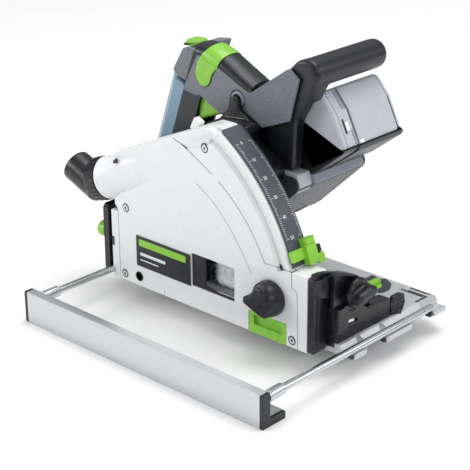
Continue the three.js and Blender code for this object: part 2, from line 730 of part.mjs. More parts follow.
function batteryTray() {
  const section = [
    [-20.8, 190.9], [-23.5, 185], [-61, 155.6], [-75, 156.2], [-110, 158], [-124, 170],
    [-126, 196], [-112, 215], [-96.9, 220.6], [-62.2, 164.4],
  ];
  return slabY(section, DOCK.near, DOCK.packFar);
}

function rearPack() {
  const plan = [
    [HANDLE.near + 0.5, 15], [HANDLE.near + 18, 33], [HANDLE.far + 6, 33], [HANDLE.far + 22, 18],
    [HANDLE.far + 22, GAP], [HANDLE.near + 0.5, GAP],
  ];
  const body = extrude(plan, 113);
  const along = rad(19.1);
  const basis = new THREE.Matrix4().makeBasis(
    new THREE.Vector3(0, 1, 0),
    new THREE.Vector3(-Math.cos(along), 0, Math.sin(along)),
    new THREE.Vector3(Math.sin(along), 0, Math.cos(along)),
  );
  body.applyMatrix4(basis);
  body.translate(-260.5, 0, 115.5);
  return body;
}

function rearDock() {
  const cap = [[-207, 265.5], [-225, 263], [-241, 236], [-237, 231.5], [-222, 227]];
  const body = slabY(cap, HANDLE.near, HANDLE.far + 22);
  const handleSpace = slabY([...handleOutline()], 0, HANDLE.far + GAP);
  const buttonRoom = slabY([[-240, 257], [-200, 257], [-200, 280], [-240, 280]], 67, 85);
  return cut(body, handleSpace, buttonRoom);
}

piece('front_grip', frontGrip(), black());
piece('battery_dock', slabY(PACK, DOCK.near, DOCK.far), lightGrey());
piece('battery_tray', batteryTray(), black());
piece('front_battery', slabY(PACK, DOCK.far + GAP, DOCK.packFar), lightGrey());
piece('rear_battery_dock', rearDock(), grey());
piece('rear_battery', rearPack(), paint('#7f9fb2', 0.5, 0));

// ---------------------------------------------------------------- place the saw in its frame
const part = new THREE.Group();
saw.position.set(...FRAME_SHIFT);
part.add(saw);

export default part;
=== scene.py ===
import bmesh
import bpy
import json
import math
from mathutils import Matrix, Vector


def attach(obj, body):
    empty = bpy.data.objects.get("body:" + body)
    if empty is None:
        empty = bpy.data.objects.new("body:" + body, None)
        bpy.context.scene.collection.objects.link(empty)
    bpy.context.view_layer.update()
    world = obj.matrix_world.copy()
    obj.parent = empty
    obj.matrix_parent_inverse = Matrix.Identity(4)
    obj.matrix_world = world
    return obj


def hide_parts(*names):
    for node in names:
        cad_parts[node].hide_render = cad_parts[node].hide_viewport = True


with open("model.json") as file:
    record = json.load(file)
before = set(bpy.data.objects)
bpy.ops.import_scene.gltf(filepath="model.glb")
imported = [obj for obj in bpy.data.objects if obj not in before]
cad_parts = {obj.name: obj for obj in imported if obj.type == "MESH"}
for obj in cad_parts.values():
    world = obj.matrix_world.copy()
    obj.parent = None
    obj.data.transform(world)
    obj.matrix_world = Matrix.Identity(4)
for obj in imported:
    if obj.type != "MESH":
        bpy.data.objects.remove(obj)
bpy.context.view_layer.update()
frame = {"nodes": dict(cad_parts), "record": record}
NODES = frame["nodes"]
RECORD = frame["record"]
BODY_OF = {n: b for b, ns in RECORD["behaviour"]["bodies"].items() for n in ns}

# The saw's own frame in millimetres: origin on the bevel axis at the front foot of the cover.
SHIFT = Vector((0.123, -0.100, 0.0))
PIVOT = (-241.0, 13.0)
MOTOR = (-152.6, 114.9)


# ------------------------------------------------------------------ materials
def linear(hexa):
    out = []
    for i in (0, 2, 4):
        c = int(hexa[i:i + 2], 16) / 255
        out.append(c / 12.92 if c <= 0.04045 else ((c + 0.055) / 1.055) ** 2.4)
    return (*out, 1.0)


def shade_of(color, k):
    return (min(1, color[0] * k), min(1, color[1] * k), min(1, color[2] * k), 1.0)


def finish_material(name, base, rough, metal=0.0, coat=0.0, mottle=0.08, mottle_scale=60, speckle=0.0,
                    speckle_scale=1800, bump=0.15, bump_scale=2600, wear=0.0, stretch=None, rough_var=0.08,
                    specular=0.5):
    """A procedural surface: soft mottling, fine speckle, grain in the bump, and paler worn edges."""
    mat = bpy.data.materials.new(name)
    mat.use_nodes = True
    nt = mat.node_tree
    nodes, links = nt.nodes, nt.links
    bsdf = nodes["Principled BSDF"]
    bsdf.inputs["Metallic"].default_value = metal
    bsdf.inputs["Coat Weight"].default_value = coat
    bsdf.inputs["Coat Roughness"].default_value = 0.12
    bsdf.inputs["Specular IOR Level"].default_value = specular
    coord = nodes.new("ShaderNodeTexCoord")
    mapping = nodes.new("ShaderNodeMapping")
    links.new(coord.outputs["Object"], mapping.inputs["Vector"])
    if stretch:
        mapping.inputs["Scale"].default_value = stretch

    def noise(scale, detail=3.0):
        n = nodes.new("ShaderNodeTexNoise")
        n.inputs["Scale"].default_value = scale
        n.inputs["Detail"].default_value = detail
        links.new(mapping.outputs["Vector"], n.inputs["Vector"])
        return n

    def ramp(source, lo, hi, c0, c1):
        r = nodes.new("ShaderNodeValToRGB")
        r.color_ramp.elements[0].position, r.color_ramp.elements[1].position = lo, hi
        r.color_ramp.elements[0].color, r.color_ramp.elements[1].color = c0, c1
        links.new(source, r.inputs["Fac"])
        return r

    color = ramp(noise(mottle_scale).outputs["Fac"], 0.3, 0.7, shade_of(base, 1 - mottle),
                 shade_of(base, 1 + mottle))
    out = color.outputs["Color"]
    if speckle:
        spots = ramp(noise(speckle_scale, 1.5).outputs["Fac"], 0.42, 0.62, shade_of(base, 1 - speckle),
                     shade_of(base, 1 + speckle))
        mix = nodes.new("ShaderNodeMixRGB")
        mix.inputs["Fac"].default_value = 0.6
        links.new(out, mix.inputs["Color1"])
        links.new(spots.outputs["Color"], mix.inputs["Color2"])
        out = mix.outputs["Color"]
    if wear:
        geo = nodes.new("ShaderNodeNewGeometry")
        edge = ramp(geo.outputs["Pointiness"], 0.52, 0.60, (0, 0, 0, 1), (wear, wear, wear, 1))
        mix = nodes.new("ShaderNodeMixRGB")
        mix.inputs["Color2"].default_value = shade_of(base, 2.2)
        links.new(edge.outputs["Color"], mix.inputs["Fac"])
        links.new(out, mix.inputs["Color1"])
        out = mix.outputs["Color"]
    links.new(out, bsdf.inputs["Base Color"])
    rr = ramp(noise(mottle_scale * 3).outputs["Fac"], 0.3, 0.7, (rough - rough_var,) * 3 + (1,),
              (rough + rough_var,) * 3 + (1,))
    links.new(rr.outputs["Color"], bsdf.inputs["Roughness"])
    if bump:
        b = nodes.new("ShaderNodeBump")
        b.inputs["Strength"].default_value = bump
        b.inputs["Distance"].default_value = 0.0002
        links.new(noise(bump_scale).outputs["Fac"], b.inputs["Height"])
        links.new(b.outputs["Normal"], bsdf.inputs["Normal"])
    return mat


M = {
    "white": finish_material("white_paint", linear("EBECED"), 0.34, coat=0.25, mottle=0.015, bump=0.05,
                             bump_scale=900),
    "black": finish_material("black_nylon", linear("0F1016"), 0.33, mottle=0.12, bump=0.25, bump_scale=2400,
                             wear=0.25),
    "soft": finish_material("soft_grip", linear("14161D"), 0.36, mottle=0.10, bump=0.30, bump_scale=3200,
                            wear=0.15),
    "grey": finish_material("speckled_grey", linear("70737C"), 0.5, speckle=0.45, speckle_scale=900,
                            mottle=0.06, bump=0.35, bump_scale=1700, wear=0.2),
    "scale": finish_material("scale_strip", linear("484B55"), 0.45, speckle=0.45, speckle_scale=1300,
                             mottle=0.14, bump=0.25),
    "dark": finish_material("dark_grey", linear("30333D"), 0.42, mottle=0.10, speckle=0.12, bump=0.25,
                            wear=0.2),
    "pale": finish_material("pale_grey", linear("B4B7C1"), 0.42, speckle=0.10, speckle_scale=1500,
                            mottle=0.05, bump=0.25, bump_scale=1800, wear=0.1),
    "steelgrey": finish_material("cool_grey", linear("848996"), 0.40, speckle=0.08, mottle=0.06, bump=0.2,
                                 wear=0.1),
    "green": finish_material("lime_green", linear("86C83A"), 0.38, coat=0.1, mottle=0.06, bump=0.12,
                             bump_scale=1500, wear=0.1),
    "blue": finish_material("blue_grey", linear("7A9AAE"), 0.42, mottle=0.06, speckle=0.06, bump=0.2),
    "alu": finish_material("extruded_alu", linear("CFD1D4"), 0.34, metal=0.85, mottle=0.04, mottle_scale=40,
                           bump=0.18, bump_scale=1400, stretch=(0.02, 1, 1)),
    "cast": finish_material("cast_alu", linear("CDCED0"), 0.42, metal=0.6, mottle=0.06, speckle=0.05,
                            bump=0.3, bump_scale=1300),
    "chrome": finish_material("bright_steel", linear("C9CBCE"), 0.20, metal=1.0, mottle=0.03, bump=0.04,
                              stretch=(1, 0.03, 1)),
    "disc": finish_material("ground_steel", linear("EDEEF0"), 0.25, metal=1.0, mottle=0.02, bump=0.03,
                            bump_scale=900),
    "ink": finish_material("white_ink", linear("E6E9EC"), 0.5, mottle=0.02, bump=0.0),
    "seam": finish_material("seam_shadow", linear("3B3C40"), 0.7, mottle=0.05, bump=0.1),
}


# ------------------------------------------------------------------ flat outlines, in millimetres
def arc(cx, cy, r, a0, a1, n):
    turns = [math.radians(a0 + (a1 - a0) * i / n) for i in range(n + 1)]
    return [(cx + r * math.cos(a), cy + r * math.sin(a)) for a in turns]


def rect(x0, y0, x1, y1):
    return [(x0, y0), (x1, y0), (x1, y1), (x0, y1)]


def area2(p):
    return sum(p[i - 1][0] * p[i][1] - p[i][0] * p[i - 1][1] for i in range(len(p))) / 2


def rounded(points, radii, n=5):
    """The outline with each corner replaced by an arc; radii is one number or one per corner."""
    if not isinstance(radii, (list, tuple)):
        radii = [radii] * len(points)
    out = []
    for i, p in enumerate(points):
        a, b, c = Vector(points[i - 1]), Vector(p), Vector(points[(i + 1) % len(points)])
        u, v = (a - b), (c - b)
        lu, lv = u.length, v.length
        u.normalize(), v.normalize()
        half = math.acos(max(-1, min(1, u.dot(v)))) / 2
        r = radii[i]
        if r <= 0 or half > 1.5:
            out.append(tuple(b))
            continue
        t = min(r / math.tan(half), lu * 0.48, lv * 0.48)
        r = t * math.tan(half)
        centre = b + (u + v).normalized() * (r / math.sin(half))
        s, e = b + u * t - centre, b + v * t - centre
        turn = s.angle_signed(e)
        for k in range(n + 1):
            w = -turn * k / n
            out.append((centre.x + s.x * math.cos(w) - s.y * math.sin(w), centre.y + s.x * math.sin(w)
                        + s.y * math.cos(w)))
    return out


def inset(points, d):
    """Moves a closed anticlockwise outline inward by d."""
    if abs(d) < 1e-9:
        return list(points)
    out = []
    n = len(points)
    for i in range(n):
        a, b, c = Vector(points[i - 1]), Vector(points[i]), Vector(points[(i + 1) % n])
        e1, e2 = (b - a).normalized(), (c - b).normalized()
        n1, n2 = Vector((-e1.y, e1.x)), Vector((-e2.y, e2.x))
        m = n1 + n2
        if m.length < 1e-6:
            m = n1
        m.normalize()
        out.append(tuple(b + m * (d / max(0.35, m.dot(n1)))))
    return out


def spline(points, steps=8):
    pts = [Vector(p) for p in points]
    pts = [pts[0] * 2 - pts[1]] + pts + [pts[-1] * 2 - pts[-2]]
    out = []
    for i in range(1, len(pts) - 2):
        for k in range(steps):
            t = k / steps
            a, b, c, d = pts[i - 1:i + 3]
            curve = (2 * a - 5 * b + 4 * c - d) * t * t + (3 * b - a - 3 * c + d) * t ** 3
            out.append(0.5 * (2 * b + (c - a) * t + curve))
    return out + [pts[-2]]


def radial_bar(centre, radius, angle, long, wide):
    """A rectangle at a radius from centre: half length long outwards, half width wide."""
    ca, sa = math.cos(angle), math.sin(angle)
    u, v = centre[0] + radius * ca, centre[1] + radius * sa
    return [(u + long * ca * s - wide * sa * t, v + long * sa * s + wide * ca * t) for s,
            t in ((-1, -1), (1, -1), (1, 1), (-1, 1))]


def ribbon(points, half):
    left, right = [], []
    for i, p in enumerate(points):
        q = Vector(points[min(i + 1, len(points) - 1)]) - Vector(points[max(i - 1, 0)])
        q.normalize()
        nrm = Vector((-q.y, q.x)) * half
        left.append(tuple(Vector(p) + nrm))
        right.append(tuple(Vector(p) - nrm))
    return left + right[::-1]


# ------------------------------------------------------------------ solids
def place(plane, u, v, w):
    if plane == "y":
        return (u, w, v)
    if plane == "x":
        return (w, u, v)
    return (u, v, w)


def obj_of(name, bm):
    bmesh.ops.remove_doubles(bm, verts=bm.verts, dist=1e-4)
    me = bpy.data.meshes.new(name)
    bmesh.ops.recalc_face_normals(bm, faces=bm.faces)
    bm.to_mesh(me)
    bm.free()
    me.transform(Matrix.Translation(SHIFT) @ Matrix.Scale(0.001, 4))
    ob = bpy.data.objects.new(name, me)
    bpy.context.scene.collection.objects.link(ob)
    return ob


def skin(name, loops, caps=True, closed=False):
    """Quads between loops of equal length, in order."""
    bm = bmesh.new()
    rows = [[bm.verts.new(p) for p in loop] for loop in loops]
    n = len(rows[0])
    pairs = list(zip(rows, rows[1:])) + ([(rows[-1], rows[0])] if closed else [])
    for a, b in pairs:
        for i in range(n):
            j = (i + 1) % n
            bm.faces.new((a[i], a[j], b[j], b[i]))
    if caps and not closed:
        bm.faces.new(rows[0][::-1])
        bm.faces.new(rows[-1])
    return obj_of(name, bm)


def pad(name, plane, pts, levels):
    """A slab built up from (inset, depth) levels, so its rims can be rounded."""
    if area2(pts) < 0:
        pts = pts[::-1]
    return skin(name, [[place(plane, u, v, w) for u, v in inset(pts, d)] for d, w in levels])


def levels(a, b, ra=0.5, rb=0.5, n=3):
    """Levels from a to b with rims rounded by ra at a and rb at b."""
    s = 1 if b > a else -1
    out = []
    for k in range(n + 1):
        t = math.pi / 2 * k / n
        out.append((ra * (1 - math.sin(t)), a + s * ra * (1 - math.cos(t))))
    for k in range(n + 1):
        t = math.pi / 2 * k / n
        out.append((rb * (1 - math.cos(t)), b - s * rb * (1 - math.sin(t))))
    return out


def slab(name, plane, pts, a, b, ra=0.5, rb=None, n=3):
    return pad(name, plane, pts, levels(a, b, ra, ra if rb is None else rb, n))


def lathe(name, axis, profile, centre, seg=48, closed=False):
    loops = []
    for r, d in profile:
        r = max(r, 0.01)
        ring = []
        for k in range(seg):
            t = 2 * math.pi * k / seg
            u, v = r * math.cos(t), r * math.sin(t)
            p = {"x": (d, u, v), "y": (u, d, v), "z": (u, v, d)}[axis]
            ring.append(tuple(Vector(p) + Vector(centre)))
        loops.append(ring)
    return skin(name, loops, closed=closed)


def bake(ob):
    dg = bpy.context.evaluated_depsgraph_get()
    me = bpy.data.meshes.new_from_object(ob.evaluated_get(dg))
    ob.modifiers.clear()
    ob.data = me
    return ob


def merge(ob, tools, op="DIFFERENCE"):
    for t in tools:
        m = ob.modifiers.new("b", "BOOLEAN")
        m.operation, m.solver, m.object = op, "EXACT", t
    bake(ob)
    for t in tools:
        bpy.data.objects.remove(t)
    return ob


def cut(ob, *tools):
    return merge(ob, tools)


def melt(ob, voxel, smooth=6):
    """Rounds a joined form: voxel remesh, then smoothing."""
    m = ob.modifiers.new("r", "REMESH")
    m.mode, m.voxel_size = "VOXEL", voxel * 0.001
    bake(ob)
    s = ob.modifiers.new("s", "SMOOTH")
    s.iterations, s.factor = smooth, 0.5
    return bake(ob)


def fuse(name, parts, voxel=1.0, smooth=6):
    """Joins solids into one and rounds them together."""
    bm = bmesh.new()
    for o in parts:
        bm.from_mesh(o.data)
        bpy.data.objects.remove(o)
    me = bpy.data.meshes.new(name)
    bm.to_mesh(me)
    bm.free()
    ob = bpy.data.objects.new(name, me)
    bpy.context.scene.collection.objects.link(ob)
    return melt(ob, voxel, smooth)


def bevel(ob, width, seg=2, angle=35):
    w = ob.modifiers.new("w", "WELD")
    w.merge_threshold = 2e-6
    m = ob.modifiers.new("v", "BEVEL")
    m.width, m.segments, m.limit_method = width * 0.001, seg, "ANGLE"
    m.angle_limit = math.radians(angle)
    return bake(ob)


def piece(ob, mat, body, nodes=(), sharp=38, weighted=True):
    ob.data.materials.clear()
    ob.data.materials.append(M[mat])
    ob.data.shade_smooth()
    ob.data.set_sharp_from_angle(angle=math.radians(sharp))
    if weighted:
        m = ob.modifiers.new("normals", "WEIGHTED_NORMAL")
        m.keep_sharp = True
    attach(ob, body)
    if nodes:
        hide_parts(*nodes)
    return ob


def refine(node, mat, width=0.6, seg=2, angle=35, sharp=38):
    """The CAD solid with its edges rounded, standing for the node."""
    me = NODES[node].data.copy()
    me.name = node + "_skin"
    ob = bpy.data.objects.new(node + "_skin", me)
    bpy.context.scene.collection.objects.link(ob)
    bevel(ob, width, seg, angle)
    return piece(ob, mat, BODY_OF[node], (node,), sharp)


# ------------------------------------------------------------------ blade cover
cover_outline = ([(-272, 1.5), (-12.2, 1.5), (-13.8, 63.8), (-20.9, 66.8), (-21.1, 84)]
                 + arc(*PIVOT, 229.3, 18.03, 57.4, 44) + [(-124.5, 205.2), (-131.5, 208.3), (-140.5, 207.6),
                 (-276, 148.6), (-278.3, 144), (-277, 89), (-272, 84)])
cover = pad("cover_face", "y", cover_outline, [(0.3, 9)] + levels(8.9, 0, 0.1, 0.7, 4))
groove_path = [(Vector(p), 1.0) for p in arc(*PIVOT, 219, 18.3, 55.5, 36)]
corner = rounded([tuple(groove_path[-1][0]), (-127, 200.4), (-185, 176.5)], [0, 12, 0], 8)[1:-1]
groove_path += [(Vector(p), 1.0) for p in corner]
end = Vector(corner[-1])
groove_path += [(end.lerp(Vector((-178, 179.2)), t / 8), 1 - 0.55 * t / 8) for t in range(1, 9)]
sections = []
for i, (p, k) in enumerate(groove_path):
    q = groove_path[min(i + 1, len(groove_path) - 1)][0] - groove_path[max(i - 1, 0)][0]
    q.normalize()
    nrm = Vector((-q.y, q.x))
    fade = min(1, (len(groove_path) - 1 - i + 0.4) / 5) * k
    full = [(-7, -3), (-7, -0.002), (-5, 0.5 * fade), (0, 2.9 * fade), (3.4, 4.9 * fade), (4.3, 4.9 * fade),
            (5.2, 3.4 * fade), (5.9, 0.6 * fade), (6.4, -0.002), (7, -3)]
    sections.append([(p.x + nrm.x * d, y, p.y + nrm.y * d) for d, y in full])
groove = skin("groove_tool", sections)
SEAMS = [spline([(-183, 187.5), (-180, 185.5), (-172, 183.2), (-150, 172.6), (-127.7, 160.3)]),
         spline([(-119.4, 155.3), (-102, 142.5), (-80.8, 121.5), (-66, 100.5), (-55.3, 82.6)]),
         spline([(-150.6, 145.1), (-126.5, 130.0), (-104.5, 108.8), (-88, 87.5), (-74.5, 66.9)]),
         [(-56, 83.8), (-38, 84.1), (-21, 84.2)]]
tools = [groove]
for i, line in enumerate(SEAMS):
    tools.append(slab(f"seam_tool_{i}", "y", ribbon(line, 0.42 if i < 2 else 0.32), -2, 0.6, 0))
tools.append(slab("window_tool", "y", rounded(rect(-160, 27, -98, 65), 0.8), -2, 6, 0))
tools.append(slab("splinter_tool", "y", rect(-78.5, -4, -26.5, 25.5), -2, 12, 0))
hollow = ([(-269, -6), (-24, -6), (-26, 80)] + arc(*PIVOT, 207, 22, 53, 20) + [(-268, 130), (-268, 90)])
tools.append(slab("hollow_tool", "y", hollow, 3.6, 12, 0))
tools.append(slab("mark_tool", "y", rect(-202.2, 0, -201.6, 9), -2, 0.5, 0))
cut(cover, *tools)
piece(cover, "white", "head", ["cover_panel"], sharp=30)
for i, line in enumerate(SEAMS):
    piece(slab(f"seam_line_{i + 1}", "y", ribbon(line, 0.40 if i < 2 else 0.30), 0.15, 0.9, 0.05), "seam",
          "head")
piece(slab("foot_mark", "y", rect(-202.15, 1.8, -201.65, 9), 0.1, 0.8, 0.02), "seam", "head")

# The duct that swells out of the cover towards the dust outlet.
MOUTH, LEAN = (-296.2, 13, 112.2), 20
MOUTH_RADIUS, DUCT_LENGTH = 24.6, 163.0
duct = []
for k in range(27):
    s = k / 26
    x = MOUTH[0] + DUCT_LENGTH * s
    blend = min(1, s / 0.16)
    ease = min(1, max(0, (s - 0.08) / 0.92))
    ease = ease * ease * (3 - 2 * ease)
    top = 148.2 + 0.4348 * (x + 278)
    low = 101.7 + 0.421 * (x + 249.2) if x > -249.2 else 90.0 + 0.25 * max(0, x + 296.2)
    a = MOUTH_RADIUS * (1 - blend) + min(26, (top - low) / 2) * blend
    a = a * (1 - ease) + (top - low) / 2 * ease
    cz = MOUTH[2] * (1 - blend) + (top + low) / 2 * blend
    swell = 1 - min(1, s / 0.66)
    near = 0.9 - 12.5 * swell ** 1.6
    far = 37.6 - 7 * ease
    e = 1 - 0.14 * blend
    lean = math.radians(LEAN * (1 - min(1, s / 0.22)))
    loop = []
    for t in range(56):
        w = 2 * math.pi * t / 56
        c, sn = math.cos(w), math.sin(w)
        up = math.copysign(abs(sn) ** e, sn) * a
        side = math.copysign(abs(c) ** e, c) * (far - near) / 2
        loop.append((x - up * math.sin(lean), (near + far) / 2 + side, cz + up * math.cos(lean)))
    duct.append(loop)
duct_shell = skin("duct_shell", duct)
cut(duct_shell, slab("duct_cut", "x", rect(30.2, 60, 70, 260), -300, -100, 0))
piece(duct_shell, "white", "head", sharp=40)


def leaning(ob, centre, degrees):
    """Turns a piece about the Y line through centre, so that its -X end rises by degrees."""
    pivot = Matrix.Translation(Vector(centre) * 0.001 + SHIFT)
    ob.data.transform(pivot @ Matrix.Rotation(math.radians(degrees), 4, "Y") @ pivot.inverted())
    return ob


mx = MOUTH[0]
lip = [(17.5, mx - 0.6), (23.6, mx - 0.6), (24.5, mx), (24.8, mx + 1.4), (24.5, mx + 3), (17.5, mx + 3)]
piece(leaning(lathe("duct_lip", "x", lip, (0, *MOUTH[1:]), 72, closed=True), MOUTH, -LEAN), "white", "head",
      ["dust_collar"])
piece(leaning(lathe("duct_ring", "x", [(17.5, mx - 1.5), (23.9, mx - 1.5), (23.9, mx - 0.4),
                                       (17.5, mx - 0.4)], (0, *MOUTH[1:]), 72, closed=True), MOUTH, -LEAN),
      "dark", "head")
tear = slab("tear_recess", "y", rounded([(-271.5, 140.6), (-266, 139.4), (-265.8, 146.6)], [3, 2.2, 0.6]),
            -6.8, -3, 0.3)
piece(tear, "seam", "head")

refine("guard_housing", "white", 0.9)
block_outline = [(-11.5, 1.5), (-0.2, 1.5), (-0.2, 84), (-20.4, 84), (-20.2, 67.4), (-13.2, 64.4)]
block = slab("front_block_face", "y", rounded(block_outline, [0.8, 1, 2, 1, 0.5, 0.5]), 0, 29.8, 0.7, 0.6,
             4)
cut(block, slab("block_foot", "y", rect(-30, -2, 4, 9.8), 21.4, 40, 0))
piece(block, "white", "head", ["front_block"])
piece(slab("seam_front", "y", ribbon([(-21.0, 84), (-20.55, 67.1), (-13.5, 64.1), (-11.85, 1.6)], 0.34),
           0.6, 8, 0.02), "seam", "head")


def screw(name, x, y0, z, r=5.0, nodes=()):
    """A countersunk screw lying in a small dish."""
    piece(lathe(name + "_rim", "y", [(r * 0.72, y0 + 0.35), (r * 0.8, y0 - 0.12), (r, y0 - 0.1),
                                     (r + 0.45, y0 + 0.4)], (x, 0, z), 32), "seam", "head")
    head = lathe(name + "_head", "y", [(0, y0 - 0.05), (1.2, y0 - 0.05), (1.5, y0 - 0.55), (3.1, y0 - 0.62),
                                       (3.7, y0 - 0.35), (3.8, y0 + 0.4), (0, y0 + 0.4)], (x, 0, z), 32)
    piece(head, "chrome", "head", nodes)
    piece(lathe(name + "_socket", "y", [(0, y0 - 0.5), (1.5, y0 - 0.5), (1.5, y0), (0, y0)], (x, 0, z), 6),
          "seam", "head")


# Painted shade: a black L behind the window, where the recess's left wall and bottom edge lie in shade.
window_shade_shape = [(-161, 26), (-97, 26), (-97, 30.2), (-141, 30.2), (-141, 66), (-161, 66)]
piece(slab("window_recess_shade", "y", rounded(window_shade_shape, [0.5, 0.5, 0.5, 3, 0.5, 0.5]), 1.4, 3.5, 0.4), "black",
      "head")
for i, (x, z) in enumerate([(-259.4, 89.2), (-264.3, 9.6), (-138.2, 186.2), (-19.1, 9.7)]):
    screw(f"cover_fastener_{i + 1}", x, 0, z, nodes=[f"cover_screw_{i + 1}"] if i < 3 else ())
piece(lathe("pivot_plug", "y", [(0, -1.0), (4.9, -1.0), (5.6, -0.6), (5.6, 0.5), (0, 0.5)], (-241, 0, 13),
            40), "black", "head")

# The guard's white rear strip beside the rear post, with its dark notch.
piece(slab("rear_strip", "y", rounded(rect(-284.5, 2, -273.4, 81), 0.8), 0.6, 7, 0.6), "white", "head",
      sharp=30)
piece(slab("rear_notch", "y", rounded(rect(-284.4, 38.6, -280.7, 49.2), 0.5), 0.3, 1.2, 0.1), "black",
      "head")

# Label plate with a generic bar and lines.
piece(slab("label_skin", "y", rounded(rect(-244, 26, -161, 62), 1.2), -0.3, -0.9, 0.1, 0.3), "black",
      "head", ["label_plate"])
piece(slab("label_bar", "y", rounded(rect(-239.5, 50.5, -168, 58.5), 1.0), -0.7, -1.0, 0.05), "green",
      "head")
for i, (x0, x1, z0, z1) in enumerate([(-238, -199, 39.5, 43.0), (-238, -210, 33.6, 34.9)]):
    piece(slab(f"label_line_{i + 1}", "y", rect(x0, z0, x1, z1), -0.7, -1.0, 0.05), "ink", "head")

# Splinter guard and its knob.
guard = slab("splinter_skin", "y", rounded(rect(-78, 1, -27, 25), 0.8), 5.4, 0.05, 0.3, 0.5)
cut(guard, slab("sp_tool", "y", rounded(rect(-71, 11, -34, 21.8), 0.6), -1, 3.2, 0),
    slab("sp_tool2", "y", rect(-38.6, 0, -38.2, 10), -1, 0.4, 0))
piece(guard, "green", "splinter_guard", ["splinter_guard"])
knob = lathe("knob_dome", "y", [(0, -21.8), (5, -21.4), (10, -20.0), (14.2, -17.4), (17.0, -13.4),
                                (18.8, -8.5), (19.5, -3), (19.0, -0.5), (0, -0.5)], (-47, 0, 49), 64)
wing = [(-68.5, 49.5), (-61, 53.5), (-56, 59), (-52, 66), (-40, 66), (-36, 33), (-46, 34.5), (-67.8, 42.8)]
grip = slab("knob_wing", "y", rounded(wing, [3, 5, 5, 4, 4, 4, 5, 3]), -9, -21.5, 1.2, 3.4, 5)
waist = [(-68, 70), (-56.5, 70), (-54.5, 60), (-61.5, 53.5), (-70, 51)]
waist_low = [(-70, 41), (-47, 32.5), (-34, 31), (-30, 20), (-70, 20)]
cut(knob, slab("knob_waist", "y", rounded(waist, 2), -9, -30, 0),
    slab("knob_waist_low", "y", rounded(waist_low, 2), -9, -30, 0))
knob = fuse("knob_skin", [knob, grip], 0.7, 6)
piece(knob, "black", "splinter_guard_knob", ["splinter_guard_knob"], sharp=60)
for i in range(7):
    piece(slab(f"knob_rib_{i + 1}", "x", rect(-18.6 + 1.5 * i, 43.2, -17.9 + 1.5 * i, 48.8), -69.2, -66,
               0.2), "black", "splinter_guard_knob")


# ------------------------------------------------------------------ depth scale
def on_arc(r, deg):
    a = math.radians(deg)
    return PIVOT[0] + r * math.cos(a), PIVOT[1] + r * math.sin(a)


def arc_box(bm, r0, r1, deg, half_deg, y0, y1):
    """A small mark lying on the arc, as a bar from y0 to y1."""
    vs = []
    for r in (r0, r1):
        for s in (-1, 1):
            x, z = on_arc(r, deg + s * half_deg)
            for y in (y0, y1):
                vs.append(bm.verts.new((x, y, z)))
    for f in ((0, 1, 3, 2), (4, 6, 7, 5), (0, 4, 5, 1), (2, 3, 7, 6), (0, 2, 6, 4), (1, 5, 7, 3)):
        bm.faces.new([vs[i] for i in f])


strip = arc(*PIVOT, 230, 18.6, 57.8, 60) + arc(*PIVOT, 232, 57.8, 18.6, 60)
piece(slab("scale_skin", "y", strip, 4, 30, 0.35), "scale", "head", ["depth_scale"],
      sharp=25)
SCALE_ZERO, SCALE_FULL = 52.5, 25.8
bm = bmesh.new()
for i in range(51):
    deg = SCALE_ZERO - i * (SCALE_ZERO - SCALE_FULL) / 50
    long = 5.2 if i % 10 == 0 else 3.8 if i % 5 == 0 else 2.6
    arc_box(bm, 231.9, 232.06, deg, 0.045, 5.0, 5.0 + long)
    arc_box(bm, 231.9, 232.06, deg, 0.045, 28.8 - long, 28.8)
piece(obj_of("scale_ticks", bm), "ink", "head", weighted=False)
for i in range(6):
    deg = SCALE_ZERO - i * (SCALE_ZERO - SCALE_FULL) / 5
    text = bpy.data.curves.new(f"figure_{i}", "FONT")
    text.body, text.size, text.extrude = str(i * 10), 0.0052, 0.00006
    text.align_x, text.align_y = "CENTER", "CENTER"
    ob = bpy.data.objects.new(f"scale_figure_{i}", text)
    bpy.context.scene.collection.objects.link(ob)
    x, z = on_arc(232.05, deg)
    up = Vector((math.cos(math.radians(deg)), 0, math.sin(math.radians(deg))))
    across = Vector((0, 1, 0))
    tang = up.cross(across)
    spot = Matrix.Translation(Vector((x, 14.0, z)) * 0.001 + SHIFT)
    facing = Matrix((across, tang, up)).transposed().to_4x4()
    upright = Matrix.Rotation(math.radians(180 if tang.z < 0 else 0), 4, "Z")
    ob.matrix_world = spot @ facing @ upright
    bpy.context.view_layer.update()
    me = bpy.data.meshes.new_from_object(ob.evaluated_get(bpy.context.evaluated_depsgraph_get()))
    me.transform(ob.matrix_world)
    flat = bpy.data.objects.new(f"scale_number_{i * 10}", me)
    bpy.context.scene.collection.objects.link(flat)
    bpy.data.objects.remove(ob)
    piece(flat, "ink", "head", weighted=False)

# ------------------------------------------------------------------ upper unit: handle
OPENING = [(-200.5, 215.5), (-152, 193), (-150, 176), (-158, 163), (-218, 163), (-210.5, 184)]
LOBE = [(-198.6, 257.5), (-204.4, 246), (-205, 236), (-199, 228), (-191.5, 226.8), (-185.6, 231.5),
        (-182.5, 241), (-175.0, 250.8)]
lobe = rounded(LOBE, [1, 8, 8, 8, 8, 8, 10, 1], 6)
if area2(lobe) < 0:
    lobe = lobe[::-1]
LEVER_ZONE = [(-204, 250.5), (-199.2, 257.2), (-191, 268.6), (-187, 276), (-164, 276), (-170.8, 261),
              (-174.2, 251.3), (-176, 247.5)]
panel = [(-204, 259.6), (-172.5, 250.1), (-130, 231.9), (-77.3, 268.5), (-63.6, 259.6), (-76, 213.8),
         (-112.5, 199), (-124, 205.5), (-138, 212), (-152, 212), (-171, 201.1), (-201, 215.5),
         (-207, 214.2), (-225.6, 216.8), (-222.8, 224.6)]
panel_r = [2, 2, 7, 4, 3, 3, 3, 2, 2, 3, 3, 3, 3, 1, 6]
side = slab("handle_panel_left", "y", rounded(panel, panel_r), 57.9, 60.9, 0.6, 0.2, 3)
